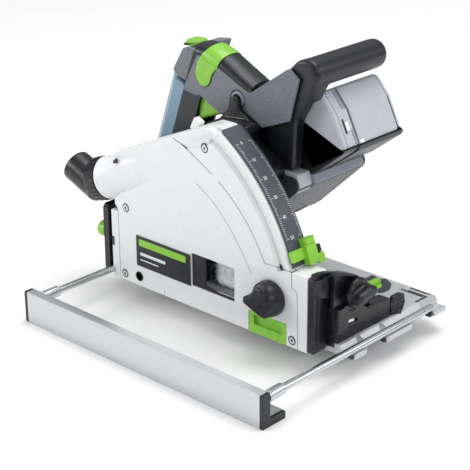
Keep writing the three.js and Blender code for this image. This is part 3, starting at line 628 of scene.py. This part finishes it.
cut(side, slab("lobe_tool", "y", inset(lobe, -0.9), 50, 70, 0),
    lathe("ring_tool", "y", [(0, 50), (10.3, 50), (10.3, 70), (0, 70)], (-146.2, 0, 222.8), 48))
piece(side, "grey", "plunge", ["handle_shell_left"], sharp=32)

CORE = [(-223, 256), (-214, 258.3), (-205, 258.4), (-193, 255.3), (-180, 251.3), (-165, 245.8), (-147, 238),
        (-127.5, 230), (-127.5, 160), (-146, 158), (-170, 155), (-190, 140), (-198, 121), (-236, 122.5),
        (-251, 138), (-244, 160.4), (-222, 224.6), (-227.5, 240)]
CORE_R = [4, 6, 12, 20, 24, 30, 30, 2, 4, 3, 6, 10, 4, 4, 8, 4, 10, 8]
# Stations along the grip's top: x, the height where the crown starts, its peak, and its half width.
CROWN = [(-225.5, 254, 256.5, 15.4), (-222, 257, 262, 17.2), (-214, 259.5, 267.5, 17.6),
         (-205, 259.6, 270.4, 17.6), (-193, 256.5, 269.8, 17.6), (-180, 252.5, 266.8, 17.6),
         (-165, 247, 260, 17.6), (-147, 239.3, 250.5, 17.6), (-128, 231.3, 241.5, 17.6)]
GRIP_Y = 76
core_outline = rounded(CORE, CORE_R, 5)
opening = rounded(OPENING, [4, 8, 6, 8, 10, 8], 5)
lever_zone = rounded(LEVER_ZONE, [0, 3, 0, 0, 0, 0, 3, 0], 4)


def crown(name, grow=0.0):
    """The grip's rounded top, from the crown's start up and 14 mm of straight side below it."""
    loops = []
    rows = zip(*(spline([(row[0], row[k]) for row in CROWN], 4) for k in (1, 2, 3)))
    for (x, base), (_, peak), (_, half) in rows:
        half += grow
        arch = [(x, GRIP_Y - half * math.cos(math.pi * k / 28), base
                 + (peak + grow - base) * math.sin(math.pi * k / 28) ** 0.8) for k in range(29)]
        loops.append([(x, GRIP_Y - half, base - 14)] + arch + [(x, GRIP_Y + half, base - 14)])
    return skin(name, loops)


core = slab("handle_core", "y", core_outline, 58.7, 93.3, 1.4, 1.4, 4)
merge(core, [crown("crown_tool")], "UNION")
cut(core, slab("opening_tool", "y", opening, 40, 110, 0), slab("lock_room", "y",
    rect(-240, 256.5, -210.6, 290), 67, 85, 0), slab("trigger_room", "y",
    [(-212, 232), (-161, 214), (-159, 188), (-218, 176)], 61.9, 90.1, 0),
    slab("panel_room", "y", rounded(panel, panel_r), 50, 61.1, 0))
piece(core, "soft", "plunge", ["handle_shell_right"], sharp=50)
right_panel = [(-204, 259.6), (-172.5, 250.1), (-130, 231.9), (-128, 200), (-132, 166), (-150, 160),
               (-158, 190), (-171, 201.1), (-201, 215.5), (-211, 190), (-222, 161), (-245, 160.4),
               (-222.8, 224.6)]
rp = slab("handle_panel_right", "y", rounded(right_panel, [2, 2, 7, 4, 4, 4, 6, 2, 3, 2, 8, 1, 10]), 90.8,
          94, 0.3, 1.1, 4)
cut(rp, slab("lobe_tool", "y", inset(lobe, -0.9), 80, 100, 0))
piece(rp, "grey", "plunge", sharp=32)
piece(slab("handle_back_strip", "y", rounded([(-207.6, 259.5), (-223.5, 224.9), (-246, 160.4), (-249, 142),
           (-245.5, 139.5), (-242.6, 160.2), (-220.6, 224.2), (-204.5, 259.8)], 0.6), 59.2, 92.5, 0.8),
      "dark", "plunge")

# Blade-change lever: a lobe outside each panel and a thin bridge over the grip, so it lifts clear of both.
dish = lathe("dish", "y", [(0, 50), (26, 50), (9, 56.3), (5.5, 57.0), (0, 57.2)], (-193.3, 0, 237.4), 48)
lobe_left = slab("lobe_left", "y", lobe, 56.3, 57.75, 0.6, 0.1, 4)
cut(lobe_left, dish)
piece(lobe_left, "green", "blade_change_lever", sharp=30)
piece(slab("lobe_right", "y", lobe, 94.15, 95.6, 0.1, 0.6, 3), "green", "blade_change_lever",
      sharp=30)
bridge = crown("lever_bridge", 1.1)
cut(bridge, crown("lever_inside", 0.6))
merge(bridge, [slab("zone_tool", "y", lever_zone, 40, 110, 0)], "INTERSECT")
piece(bridge, "green", "blade_change_lever", ["blade_change_lever"], sharp=40)
trim = crown("top_trim", 0.45)
merge(trim, [slab("trim_tool", "y", [(-176, 247), (-138, 231), (-136, 262), (-172, 276)], 88.5, 91.5, 0)],
      "INTERSECT")
piece(trim, "green", "plunge", sharp=40)

# Ring in the side panel.
piece(lathe("lock_ring", "y", [(5.4, 57.4), (6.0, 56.8), (8.1, 56.8), (8.8, 57.6), (8.8, 61), (5.4, 61)],
            (-146.2, 0, 222.8), 56, closed=True), "steelgrey", "plunge")
piece(lathe("lock_hole", "y", [(0, 59.6), (10.1, 59.6), (10.1, 61), (0, 61)], (-146.2, 0, 222.8), 40),
      "black", "plunge")

# Pointer arm behind the top of the scale.
arm_outer = [(-169.5, 197), (-158, 207.4), (-153.4, 215), (-152.4, 223), (-146, 228.4), (-139.8, 223),
             (-138, 213.5), (-124, 206), (-113, 199.5), (-113, 197)]
arm_inner = [(-171.5, 196.8), (-160, 202.5), (-130, 206), (-110, 206.5), (-109, 199.5), (-112, 196.8)]
arm_parts = [slab("pa", "y", rounded(arm_outer, [2, 5, 4, 5, 5, 5, 6, 6, 1, 1]), 50.5, 57.3, 1.5, 1.0),
             slab("pb", "y", rounded(arm_inner, 2), 31.6, 51, 2.0)]
arm = fuse("pointer_boot", arm_parts, 0.9, 5)
piece(arm, "black", "plunge", ["depth_pointer_arm"], sharp=60)
piece(slab("scale_rib", "y", [on_arc(r, d) for r, d in [(230.5, 44.6), (232.1, 46.0), (232.3, 50),
                              (232.3, 55), (232.2, 57.6), (230.5, 57.9), (230.5, 54), (230.5, 49)]], 27.6,
           31.0, 0.4), "dark", "head", sharp=30)
piece(slab("top_tab", "y", rounded([(-175, 196), (-166, 191.5), (-159.8, 204), (-168.5, 208.5)], 1.2), 16,
           24, 1.0), "white", "head")

# Trigger, lock, rear battery and its dock.
trig = slab("trigger_skin", "y", rounded([(-207, 222), (-168, 209), (-165, 203), (-178, 197.5),
                                         (-211, 184.5)], [2, 4, 3, 22, 3], 6), 62.8, 89.2, 4.0, 4.0, 6)
piece(trig, "green", "trigger", ["trigger"], sharp=40)
lock = slab("lock_skin", "y", rounded([(-236, 262), (-229, 270), (-213, 271), (-211.5, 268), (-211.5, 262)],
                                      [1, 5, 3, 2, 1], 5), 68, 84, 2.4, 2.4, 5)
piece(lock, "green", "lock_button", ["lock_button"], sharp=40)
refine("rear_battery_dock", "grey", 1.8, 3)
refine("rear_battery", "blue", 2.6, 3)

# ------------------------------------------------------------------ front grip and battery
bar = lathe("g1", "y", [(0, 62.3), (11, 62.3), (14.5, 64), (15.5, 67), (15.5, 168), (15.0, 173),
                        (12.6, 176), (9, 177), (0, 177)], (-58.5, 0, 264.5), 64)
post_pts = [(-127.6, 229), (-127.6, 207), (-112, 199), (-104, 160), (-74, 160), (-70.5, 212), (-45, 257),
            (-46, 270), (-58, 280), (-70, 277), (-78, 269)]
post = slab("g2", "y", rounded(post_pts, [2, 3, 6, 3, 4, 10, 8, 8, 8, 8, 6]), 62.3, 78.5, 3.0, 3.0, 4)
web = slab("g3", "x", rounded([(76, 250), (112, 256), (112, 268), (76, 268)], [1, 1, 1, 1]), -66, -52, 3)
web2 = slab("g4", "x", [(70, 236), (79, 237), (92, 252), (92, 262), (70, 262)], -62, -50, 3)
grip_body = fuse("front_grip_skin", [bar, post, web, web2], 1.15, 9)
piece(grip_body, "soft", "plunge", ["front_grip"], sharp=60)
piece(lathe("grip_ring", "y", [(15.0, 82.0), (15.45, 82.0), (15.45, 82.6), (15.0, 82.6)], (-58.5, 0, 264.5),
            64, closed=True), "seam", "plunge")

PACK = [(-55, 244.5), (-37.2, 224.3), (-20.8, 191.5), (-61.5, 165.3), (-96, 221)]
pack = rounded(PACK, [5, 2.5, 4, 5, 5], 5)
body = pad("battery_skin", "y", pack, [(0.6, 105.0), (0.0, 105.8), (0.0, 167.0), (0.15, 167.2),
                                       (1.0, 167.3), (1.0, 168.2), (0.15, 168.3), (0.1, 168.5), (1.2, 171),
                                       (3.2, 175), (5.0, 176.6), (8, 177)])
piece(body, "pale", "front_battery", ["front_battery"], sharp=28)
dock = pad("dock_skin", "y", pack, [(2, 79.2), (0.4, 80.6), (0, 82), (0, 84.6), (1.0, 84.8), (1.0, 86.0),
                                    (0.3, 86.2), (0.1, 88), (0.1, 101.6), (0.8, 102.4)])
piece(dock, "pale", "plunge", ["battery_dock"], sharp=28)
piece(slab("dock_gap", "y", inset(pack if area2(pack) > 0 else pack[::-1], 2.2), 102.2, 104.6, 0.2),
      "black", "plunge")


def on_face(name, a, b, t0, t1, y0, y1, rise, mat, body_name, slot_name, r=0.3, pts=None):
    """A raised detail on the battery face a to b, between fractions t0 and t1 of it."""
    pa, pb = Vector(a), Vector(b)
    u = (pb - pa).normalized()
    n = Vector((-u.y, u.x))
    if n.x < 0:
        n = -n
    length = (pb - pa).length
    p0, p1 = pa + u * (length * t0), pa + u * (length * t1)
    quad = [tuple(p0 - n * 0.6), tuple(p1 - n * 0.6), tuple(p1 + n * rise), tuple(p0 + n * rise)]
    return piece(slab(name, "y", quad, y0, y1, r), mat, body_name)


TOP, LOW = (PACK[0], PACK[1]), (PACK[1], PACK[2])
on_face("dock_latch_dark", *LOW, 0.20, 0.62, 89, 92, 0.15, "black", "plunge", "black_plastic")
on_face("dock_latch_pale", *LOW, 0.30, 0.55, 92, 97, 0.5, "white", "plunge", "light_grey_plastic")
on_face("dock_step_1", *LOW, 0.55, 0.96, 98.0, 101.8, 0.35, "steelgrey", "plunge", "light_grey_plastic")
on_face("dock_step_2", *TOP, 0.15, 0.90, 95.5, 101.6, 0.25, "steelgrey", "plunge", "light_grey_plastic")
on_face("battery_seam", *LOW, 0.02, 0.98, 166.9, 168.6, 0.05, "black", "front_battery", "black_plastic",
        0.05)
on_face("battery_key", *LOW, 0.90, 0.99, 105.3, 112, 0.4, "white", "front_battery", "light_grey_plastic")

tray_pts = [(-20.8, 190.3), (-23.5, 185), (-61, 155.6), (-75, 156.2), (-110, 158), (-124, 170), (-126, 196),
            (-112, 215), (-97.2, 220.2), (-62.1, 164.2)]
tray = slab("tray_skin", "y", rounded(tray_pts, [0.5, 4, 8, 6, 6, 6, 6, 4, 0.5, 2]), 79, 177, 1.6, 3.0, 4)
piece(tray, "black", "plunge", ["battery_tray"], sharp=35)
piece(slab("tray_lip", "y", rounded([(-20.6, 190.2), (-22.0, 184.0), (-60.6, 154.8), (-64.0, 156.6),
                                     (-25.0, 187.2)], 0.8), 104, 176, 0.6), "dark", "plunge")
piece(slab("tray_band", "y", rounded([(-60.8, 155.2), (-78, 155.4), (-80, 148), (-70, 141.5), (-57, 146)],
                                     2.0), 79, 160, 2.0), "steelgrey", "plunge")

# Vent block under the grip's post.
piece(slab("vent_block", "y", rounded([(-101, 158.4), (-66, 158.4), (-62, 147), (-66, 137.5), (-90, 137.5),
                                       (-101, 146)], [1, 1, 4, 4, 4, 4]), 60, 80, 1.2), "pale", "plunge")
for i, (x0, z0, x1, z1) in enumerate([(-97, 147.6, -84.6, 157.4), (-84.0, 141.0, -71.4, 150.6)]):
    piece(slab(f"vent_frame_{i + 1}", "y", rounded([(x0, z0 + 3), (x1, z0 - 1), (x1, z1 - 3), (x0, z1)],
               1.2), 60.5, 59.1, 0.2), "white", "plunge")
    piece(slab(f"vent_dark_{i + 1}", "y", rounded([(x0 + 0.9, z0 + 3.6), (x1 - 0.9, z0),
               (x1 - 0.9, z1 - 3.8), (x0 + 0.9, z1 - 1)], 0.9), 60.4, 58.9, 0.1), "seam", "plunge")

# ------------------------------------------------------------------ motor and gear housing
refine("gear_housing", "black", 1.6, 3)
refine("motor_housing", "dark", 3.0, 4)
refine("motor_end_cap", "dark", 2.0, 3)
for i in range(12):
    vent = rounded(radial_bar(MOTOR, 22, math.radians(i * 30), 6, 1.4), 1.2)
    piece(slab(f"motor_vent_{i + 1}", "y", vent, 182.2, 183.12, 0.1), "seam", "plunge")
refine("speed_dial", "green", 0.6)
for i in range(7):
    piece(slab(f"housing_rib_{i + 1}", "y", arc(*MOTOR, 42.5, 200, 330, 24) + arc(*MOTOR, 41, 330, 200, 24),
               72 + 11 * i, 75 + 11 * i, 0.5), "dark", "plunge")

# ------------------------------------------------------------------ dust outlet
RING, NOZZLE_RISE, NOZZLE_START = 21, 22, (-316, 13, 97)
ring = [(17, mx - 6), (17, mx - 2), (23.6, mx - 2), (24.7, mx - 2.6), (24.8, mx - 3.4), (24.2, mx - 4.2),
        (24.2, mx - 17), (23.6, mx - 19.5), (22.4, mx - 20.6), (20.6, mx - RING), (17, mx - 20)]
piece(leaning(lathe("outlet_ring", "x", ring, (0, *MOUTH[1:]), 72, closed=True), MOUTH, -LEAN), "black",
      "dust_outlet", ["dust_outlet"], sharp=45)


def disc_loop(centre, degrees, radius, n=48):
    """A ring of points around centre, facing -X and turned up by degrees."""
    lean, (x, y, z) = math.radians(degrees), centre
    turns = [2 * math.pi * k / n for k in range(n)]
    return [(x + radius * math.sin(lean) * math.sin(w), y + radius * math.cos(w),
             z + radius * math.cos(lean) * math.sin(w)) for w in turns]


def along(centre, degrees, distance):
    a = math.radians(degrees)
    return centre[0] - distance * math.cos(a), centre[1], centre[2] + distance * math.sin(a)


# The elbow turns from the ring's end into the nozzle, and the nozzle is an open tube.
NOZZLE_RADIUS, ELBOW_RADIUS, ELBOW_STEPS, ELBOW_SAG = 18.0, 21.8, 8, 2.2
start = Vector(along(MOUTH, -LEAN, RING - 2))
end = Vector(along(NOZZLE_START, NOZZLE_RISE, 1))
elbow = []
for k in range(ELBOW_STEPS + 1):
    t = k / ELBOW_STEPS
    centre = start.lerp(end, t)
    centre.z -= ELBOW_SAG * math.sin(math.pi * t)
    radius = ELBOW_RADIUS + (NOZZLE_RADIUS - ELBOW_RADIUS) * t
    elbow.append(disc_loop(centre, -LEAN + (LEAN + NOZZLE_RISE) * t, radius))
outer = [(0.5, 18.0), (20, 18.1), (38.5, 18.2), (40.6, 18.0), (41.5, 17.2)]
inner = [(41.5, 15.6), (40.4, 15.0), (10, 15.0), (9, 0.01)]
tube = [disc_loop(along(NOZZLE_START, NOZZLE_RISE, d), NOZZLE_RISE, r) for d, r in outer + inner]
piece(skin("outlet_nozzle", elbow + tube), "black", "dust_outlet", sharp=50)
RIBS = 26
for i in range(RIBS):
    bar = radial_bar(MOUTH[1:], 24.2, math.radians(i * 360 / RIBS), 0.6, 0.9)
    rib = slab(f"outlet_rib_{i + 1}", "x", bar, mx - 17.5, mx - 5.5, 0.3)
    piece(leaning(rib, MOUTH, -LEAN), "black", "dust_outlet")

# ------------------------------------------------------------------ front bevel clamp
def sector(r0, r1, a0, a1, n=24):
    return arc(0, 0, r1, a0, a1, n) + arc(0, 0, r0, a1, a0, n)


segment = slab("segment_plate", "x", [(21.5, 8), (88, 8)] + arc(0, 0, 88.6, 6.9, 88, 30) + [(1.5, 84)], 2.4,
               9.2, 0.5)
segment_post = slab("segment_post", "x", rounded([(0.6, 1.6), (20.5, 1.6), (24, 8), (24, 78), (18, 84),
                    (2, 84), (0.6, 82)], 2.5), 0.4, 8.6, 0.8, 2.6, 5)
segment_cheek = slab("segment_cheek", "x", rounded([(5.5, 3), (24.5, 8), (26, 60), (8, 74)], [3, 6, 6, 10]),
                     8, 9.6, 0.1, 1.2)
segment_head = slab("segment_head", "x", rounded([(0.8, 66), (28, 56), (28, 79), (20, 84), (2.5, 84)],
                    [2, 3, 2, 4, 2]), 8, 14.2, 0.2, 1.6, 4)
bevel(segment, 0.3)
piece(segment, "black", "head", ["front_bevel_segment"])
for o in (segment_post, segment_cheek, segment_head):
    piece(o, "black", "head", sharp=30)
rim = slab("bracket_rim", "x", sector(88.9, 92.3, 30, 80.5, 30), 14.8, 24.2, 0.8, 0.8, 4)
web = slab("bracket_web", "x", [(20.5, 7.4), (31, 7.2)] + arc(0, 0, 89.2, 29, 78, 26)
           + [(18, 62), (17.4, 52)], 14.9, 19.6, 0.4)
web_back = slab("bracket_web_back", "x", [(31, 7.0), (80, 7.0), (80, 35)] + arc(0, 0, 89.2, 27, 64, 20)
                + [(31, 76)], 9.9, 15.2, 0.4)
box = slab("bracket_box", "x", rounded([(19.5, 7.0), (104.5, 7.0), (104.5, 34.5), (66, 36.8), (57, 44),
                                        (36, 50), (19.5, 50)], [1, 2, 2.4, 3, 8, 8, 1]), 10.0, 24.3, 0.3,
           1.2, 4)
cut(box, slab("pocket_a", "x", rounded([(68, 26), (76, 26), (76, 40), (68, 42)], 1), 17, 21.6, 0),
    slab("pocket_b", "x", rounded([(36, 29.4), (50, 27.8), (50, 32.2), (36, 34)], 0.8), 22.6, 26, 0),
    slab("pocket_c", "x", rounded([(36, 24.9), (62, 22.4), (62, 23.6), (36, 26.1)], 0.3), 23.6, 26, 0),
    lathe("knob_room", "x", [(0, 23.2), (18.2, 23.2), (18.2, 27), (0, 27)], (0, 44, 60), 40))
piece(rim, "black", "base", sharp=30)
piece(web, "black", "base", ["front_bevel_bracket"])
piece(web_back, "black", "base")
piece(box, "black", "base", sharp=30)
piece(slab("bracket_mark", "x", rounded([(36.6, 30.0), (46.2, 28.9), (46.2, 31.9), (36.6, 33.3)], 0.5),
           22.5, 23.2, 0.1), "ink", "base")
KY, KZ = 45.0, 62.0
ca, sa = math.cos(math.radians(12)), math.sin(math.radians(12))
wing_flat = [(-15.5, -5.2), (15.8, -4.6), (15.8, 3.4), (6, 6.2), (-9, 6.2), (-15.5, 2.5)]
wing_shape = [(KY + u * ca - v * sa, KZ + u * sa + v * ca) for u, v in wing_flat]
knob_disc = [(0, 24.7), (15.5, 24.7), (16.2, 25.6), (16.2, 29), (14.5, 31.2), (0, 31.8)]
knob_parts = [lathe("kb", "x", knob_disc, (0, KY, KZ), 56),
              slab("kw", "x", rounded(wing_shape, [4, 3, 3, 6, 6, 4]), 27, 42.2, 3.0, 3.4, 5)]
knob_front = fuse("front_bevel_knob_skin", knob_parts, 0.75, 5)
piece(knob_front, "black", "front_bevel_knob", ["front_bevel_knob"], sharp=60)

# ------------------------------------------------------------------ base plate, fence and clamps
refine("base_plate", "cast", 0.8)
ridge = slab("plate_ridge", "y", rounded([(20.6, 5.4), (25.0, 5.4), (31.8, 6.4), (31.8, 8.8), (27.4, 13.0),
                                         (24.6, 13.4), (20.6, 13.4)], [0.3, 0.3, 1.2, 1.2, 1.5, 1, 0.3]),
             18, 150, 0.6)
notches = [slab(f"notch_{i}", "z", rounded([(35, y - 7), (35, y + 7), (22.4, y)], [0, 0, 2]), 0, 20, 0)
           for i, y in enumerate((47, 84))]
cut(ridge, *notches)
piece(ridge, "cast", "base", sharp=30)
for i, y in enumerate((47, 84)):
    piece(slab(f"ridge_pocket_{i + 1}", "z", [(30.6, y - 5.2), (30.6, y + 5.2), (22.6, y + 1),
               (22.6, y - 1)], 5.6, 8.6, 0.3), "dark", "base")
for i, (y0, y1) in enumerate(((26, 42), (78, 118), (156, 176))):
    piece(slab(f"front_foot_{i + 1}", "x", rounded([(y0, 0.3), (y1, 0.3), (y1, 5.6), (y0, 5.6)], 1.0), 30,
               43.9, 1.0), "cast", "base", sharp=30)
    # Painted shade: a dark wedge on each foot's -Y end, where that face lies in shadow.
    piece(slab(f"front_foot_end_shade_{i + 1}", "x", [(y0 - 4.5, 0.6), (y0 + 0.5, 0.6), (y0 + 0.5, 4.4),
               (y0 - 3, 4.4)], 27, 41.5, 0.2), "dark", "base")
top_z = 9.0
for i, pts in enumerate(([(-9, 182), (19, 182), (19, 184.4), (-9, 184.4)],
                         [(-5.5, 174), (17, 174), (16.4, 156), (19.5, 154), (20, 177), (-5.5, 177)])):
    piece(slab(f"plate_slot_{i + 1}", "z", rounded(pts, 1), top_z - 0.6, top_z + 0.05, 0.05), "dark",
          "base")
BEAN = [(-59, 173), (-60, 183), (-46, 178), (-42, 184.4), (-28.5, 177), (-21, 163.5), (-21, 150),
        (-35, 146), (-54, 148), (-64, 160)]
for i, dx in enumerate((0, -172)):
    bean = rounded([(x + dx, y) for x, y in BEAN], [3, 4, 4, 4, 8, 8, 6, 8, 8, 6], 5)
    bean = bean if area2(bean) > 0 else bean[::-1]
    piece(slab(f"bean_well_{i + 1}", "z", bean, top_z - 0.8, top_z + 0.06, 0.05), "dark", "base")
    body_name = ("front" if i == 0 else "rear") + "_rail_adjuster"
    piece(lathe(f"adjuster_disc_{i + 1}", "z", [(0, 6.4), (11.4, 6.4), (11.8, 6.9), (11.8, 8.4), (11, 9.1),
                (5, 9.3), (0, 9.3)], (-43 + dx, 160, 0), 48), "green", body_name,
          [body_name])
    piece(slab(f"adjuster_lever_{i + 1}", "z", rounded([(-46.5 + dx, 154), (-39.5 + dx, 154),
               (-38.5 + dx, 171), (-43 + dx, 173), (-47.5 + dx, 171)], 2.2), 8.8, 12.9, 0.3, 1.2, 3),
          "green", body_name, sharp=30)

# Rod clamps and their wing screws.
WING = [(108, 12), (126, 12), (130.5, 22), (129, 31), (122, 34), (110, 34), (106, 28), (105.6, 18)]
for where, x, wx in (("front", 38.0, 22.0), ("rear", -285.5, -268.0)):
    saddle = slab(f"rod_saddle_{where}", "y", rounded([(x - 5.2, 5.2), (x + 5.4, 5.2), (x + 5.4, 12),
                  (x + 3.6, 16.8), (x - 3.4, 16.8), (x - 5.2, 12)], [0.5, 0.5, 3, 3, 3, 3], 5), 109, 127.6,
                  1.0)
    cut(saddle, lathe("saddle_bore", "y", [(0, 90), (4.3, 90), (4.3, 140), (0, 140)], (x, 0, 9), 32))
    piece(saddle, "black", "base", [f"rod_clamp_{where}"], sharp=30)
    stem = lathe("ws", "z", [(0, 6.4), (6, 6.4), (6, 13), (4.5, 15), (0, 15)], (wx, 118, 0), 32)
    wing = fuse(f"wing_screw_skin_{where}",
                [stem, slab("wa", "x", rounded(WING, 3), wx - 3.2, wx + 3.2, 2.2)], 0.8, 4)
    cut(wing, lathe("thumb", "y", [(0, 100), (9, 100), (9, 136), (0, 136)], (wx + 10.4, 0, 26), 40))
    piece(wing, "black", f"wing_screw_{where}", [f"wing_screw_{where}"], sharp=50)

# Depth stop: an arm over the scale, a plate with its pinch button, and the fine screw on a ledge.
refine("depth_stop", "green", 0.8, 3)
refine("depth_stop_button", "green", 1.1, 3)
refine("fine_adjust_screw", "black", 0.5)
for node, mat, w in [("front_rail_adjuster", "green", 0.5), ("rear_rail_adjuster", "green", 0.5),
                     ("rear_bevel_bracket", "black", 0.9), ("rear_bevel_segment", "black", 1.0),
                     ("rear_bevel_knob", "black", 0.6), ("undercut_knob", "green", 1.2),
                     ("fence_profile", "alu", 0.5), ("fence_cap_front", "black", 1.0),
                     ("fence_cap_rear", "black", 1.0), ("saw_blade", "disc", 0.1),
                     ("blade_clamp_screw", "chrome", 0.4), ("fence_rod_front", "chrome", 0.3),
                     ("fence_rod_rear", "chrome", 0.3), ("riving_knife", "disc", 0.3)]:
    refine(node, mat, w)
for node in ("arbor_shaft", "drive_gear", "motor_shaft_and_rotor", "pivot_pin", "return_spring"):
    o = NODES[node]
    o.data.materials.clear()
    o.data.materials.append(M["chrome"])

# ------------------------------------------------------------------ floor, light, camera
bm = bmesh.new()
bmesh.ops.create_grid(bm, x_segments=4, y_segments=4, size=6)
me = bpy.data.meshes.new("floor")
bm.to_mesh(me)
bm.free()
floor = bpy.data.objects.new("floor", me)
bpy.context.scene.collection.objects.link(floor)
floor.location = (0, 0, -0.0212)
paper = bpy.data.materials.new("paper")
paper.use_nodes = True
paper.node_tree.nodes["Principled BSDF"].inputs["Base Color"].default_value = (0.93, 0.93, 0.93, 1)
paper.node_tree.nodes["Principled BSDF"].inputs["Roughness"].default_value = 0.9
me.materials.append(paper)

world = bpy.data.worlds.new("studio")
bpy.context.scene.world = world
world.use_nodes = True
sky = world.node_tree
background = sky.nodes["Background"]
tex = sky.nodes.new("ShaderNodeTexCoord")
split = sky.nodes.new("ShaderNodeSeparateXYZ")
fade = sky.nodes.new("ShaderNodeValToRGB")
fade.color_ramp.elements[0].position, fade.color_ramp.elements[1].position = 0.0, 0.75
fade.color_ramp.elements[0].color, fade.color_ramp.elements[1].color = (0.30, 0.31, 0.33, 1), (1, 1, 1, 1)
sky.links.new(tex.outputs["Generated"], split.inputs["Vector"])
sky.links.new(split.outputs["Z"], fade.inputs["Fac"])
sky.links.new(fade.outputs["Color"], background.inputs["Color"])
background.inputs["Strength"].default_value = 0.62


def lamp(name, loc, target, size, power):
    data = bpy.data.lights.new(name, "AREA")
    data.shape, data.size, data.energy = "DISK", size, power
    ob = bpy.data.objects.new(name, data)
    bpy.context.scene.collection.objects.link(ob)
    ob.location = loc
    ob.rotation_mode = "QUATERNION"
    ob.rotation_quaternion = (Vector(target) - Vector(loc)).to_track_quat("-Z", "Y")


lamp("key", (-1.1, -1.15, 0.70), (-0.05, 0, 0.1), 0.6, 9)
lamp("top", (0.1, 0.7, 3.2), (0, 0.4, 0), 2.4, 62)
lamp("rim", (1.3, 0.9, 0.9), (0, 0, 0.15), 0.8, 5)
lamp("strip", (1.5, -0.7, 0.9), (0, 0, 0.15), 0.4, 4)

cam = bpy.data.cameras.new("camera")
cam.lens, cam.sensor_width = 111.06, 36
cam.clip_start, cam.clip_end = 0.05, 30
camera = bpy.data.objects.new("camera", cam)
bpy.context.scene.collection.objects.link(camera)
right = Vector((0.730802, 0.682561, -0.006436))
up = Vector((-0.260184, 0.287262, 0.921838))
back = Vector((0.63106, -0.67201, 0.38752))
camera.matrix_world = Matrix.Translation((0.9547, -1.0886, 0.6730)) @ Matrix((right, up,
    back)).transposed().to_4x4()
bpy.context.scene.camera = camera
bpy.context.scene.view_settings.view_transform = "Standard"
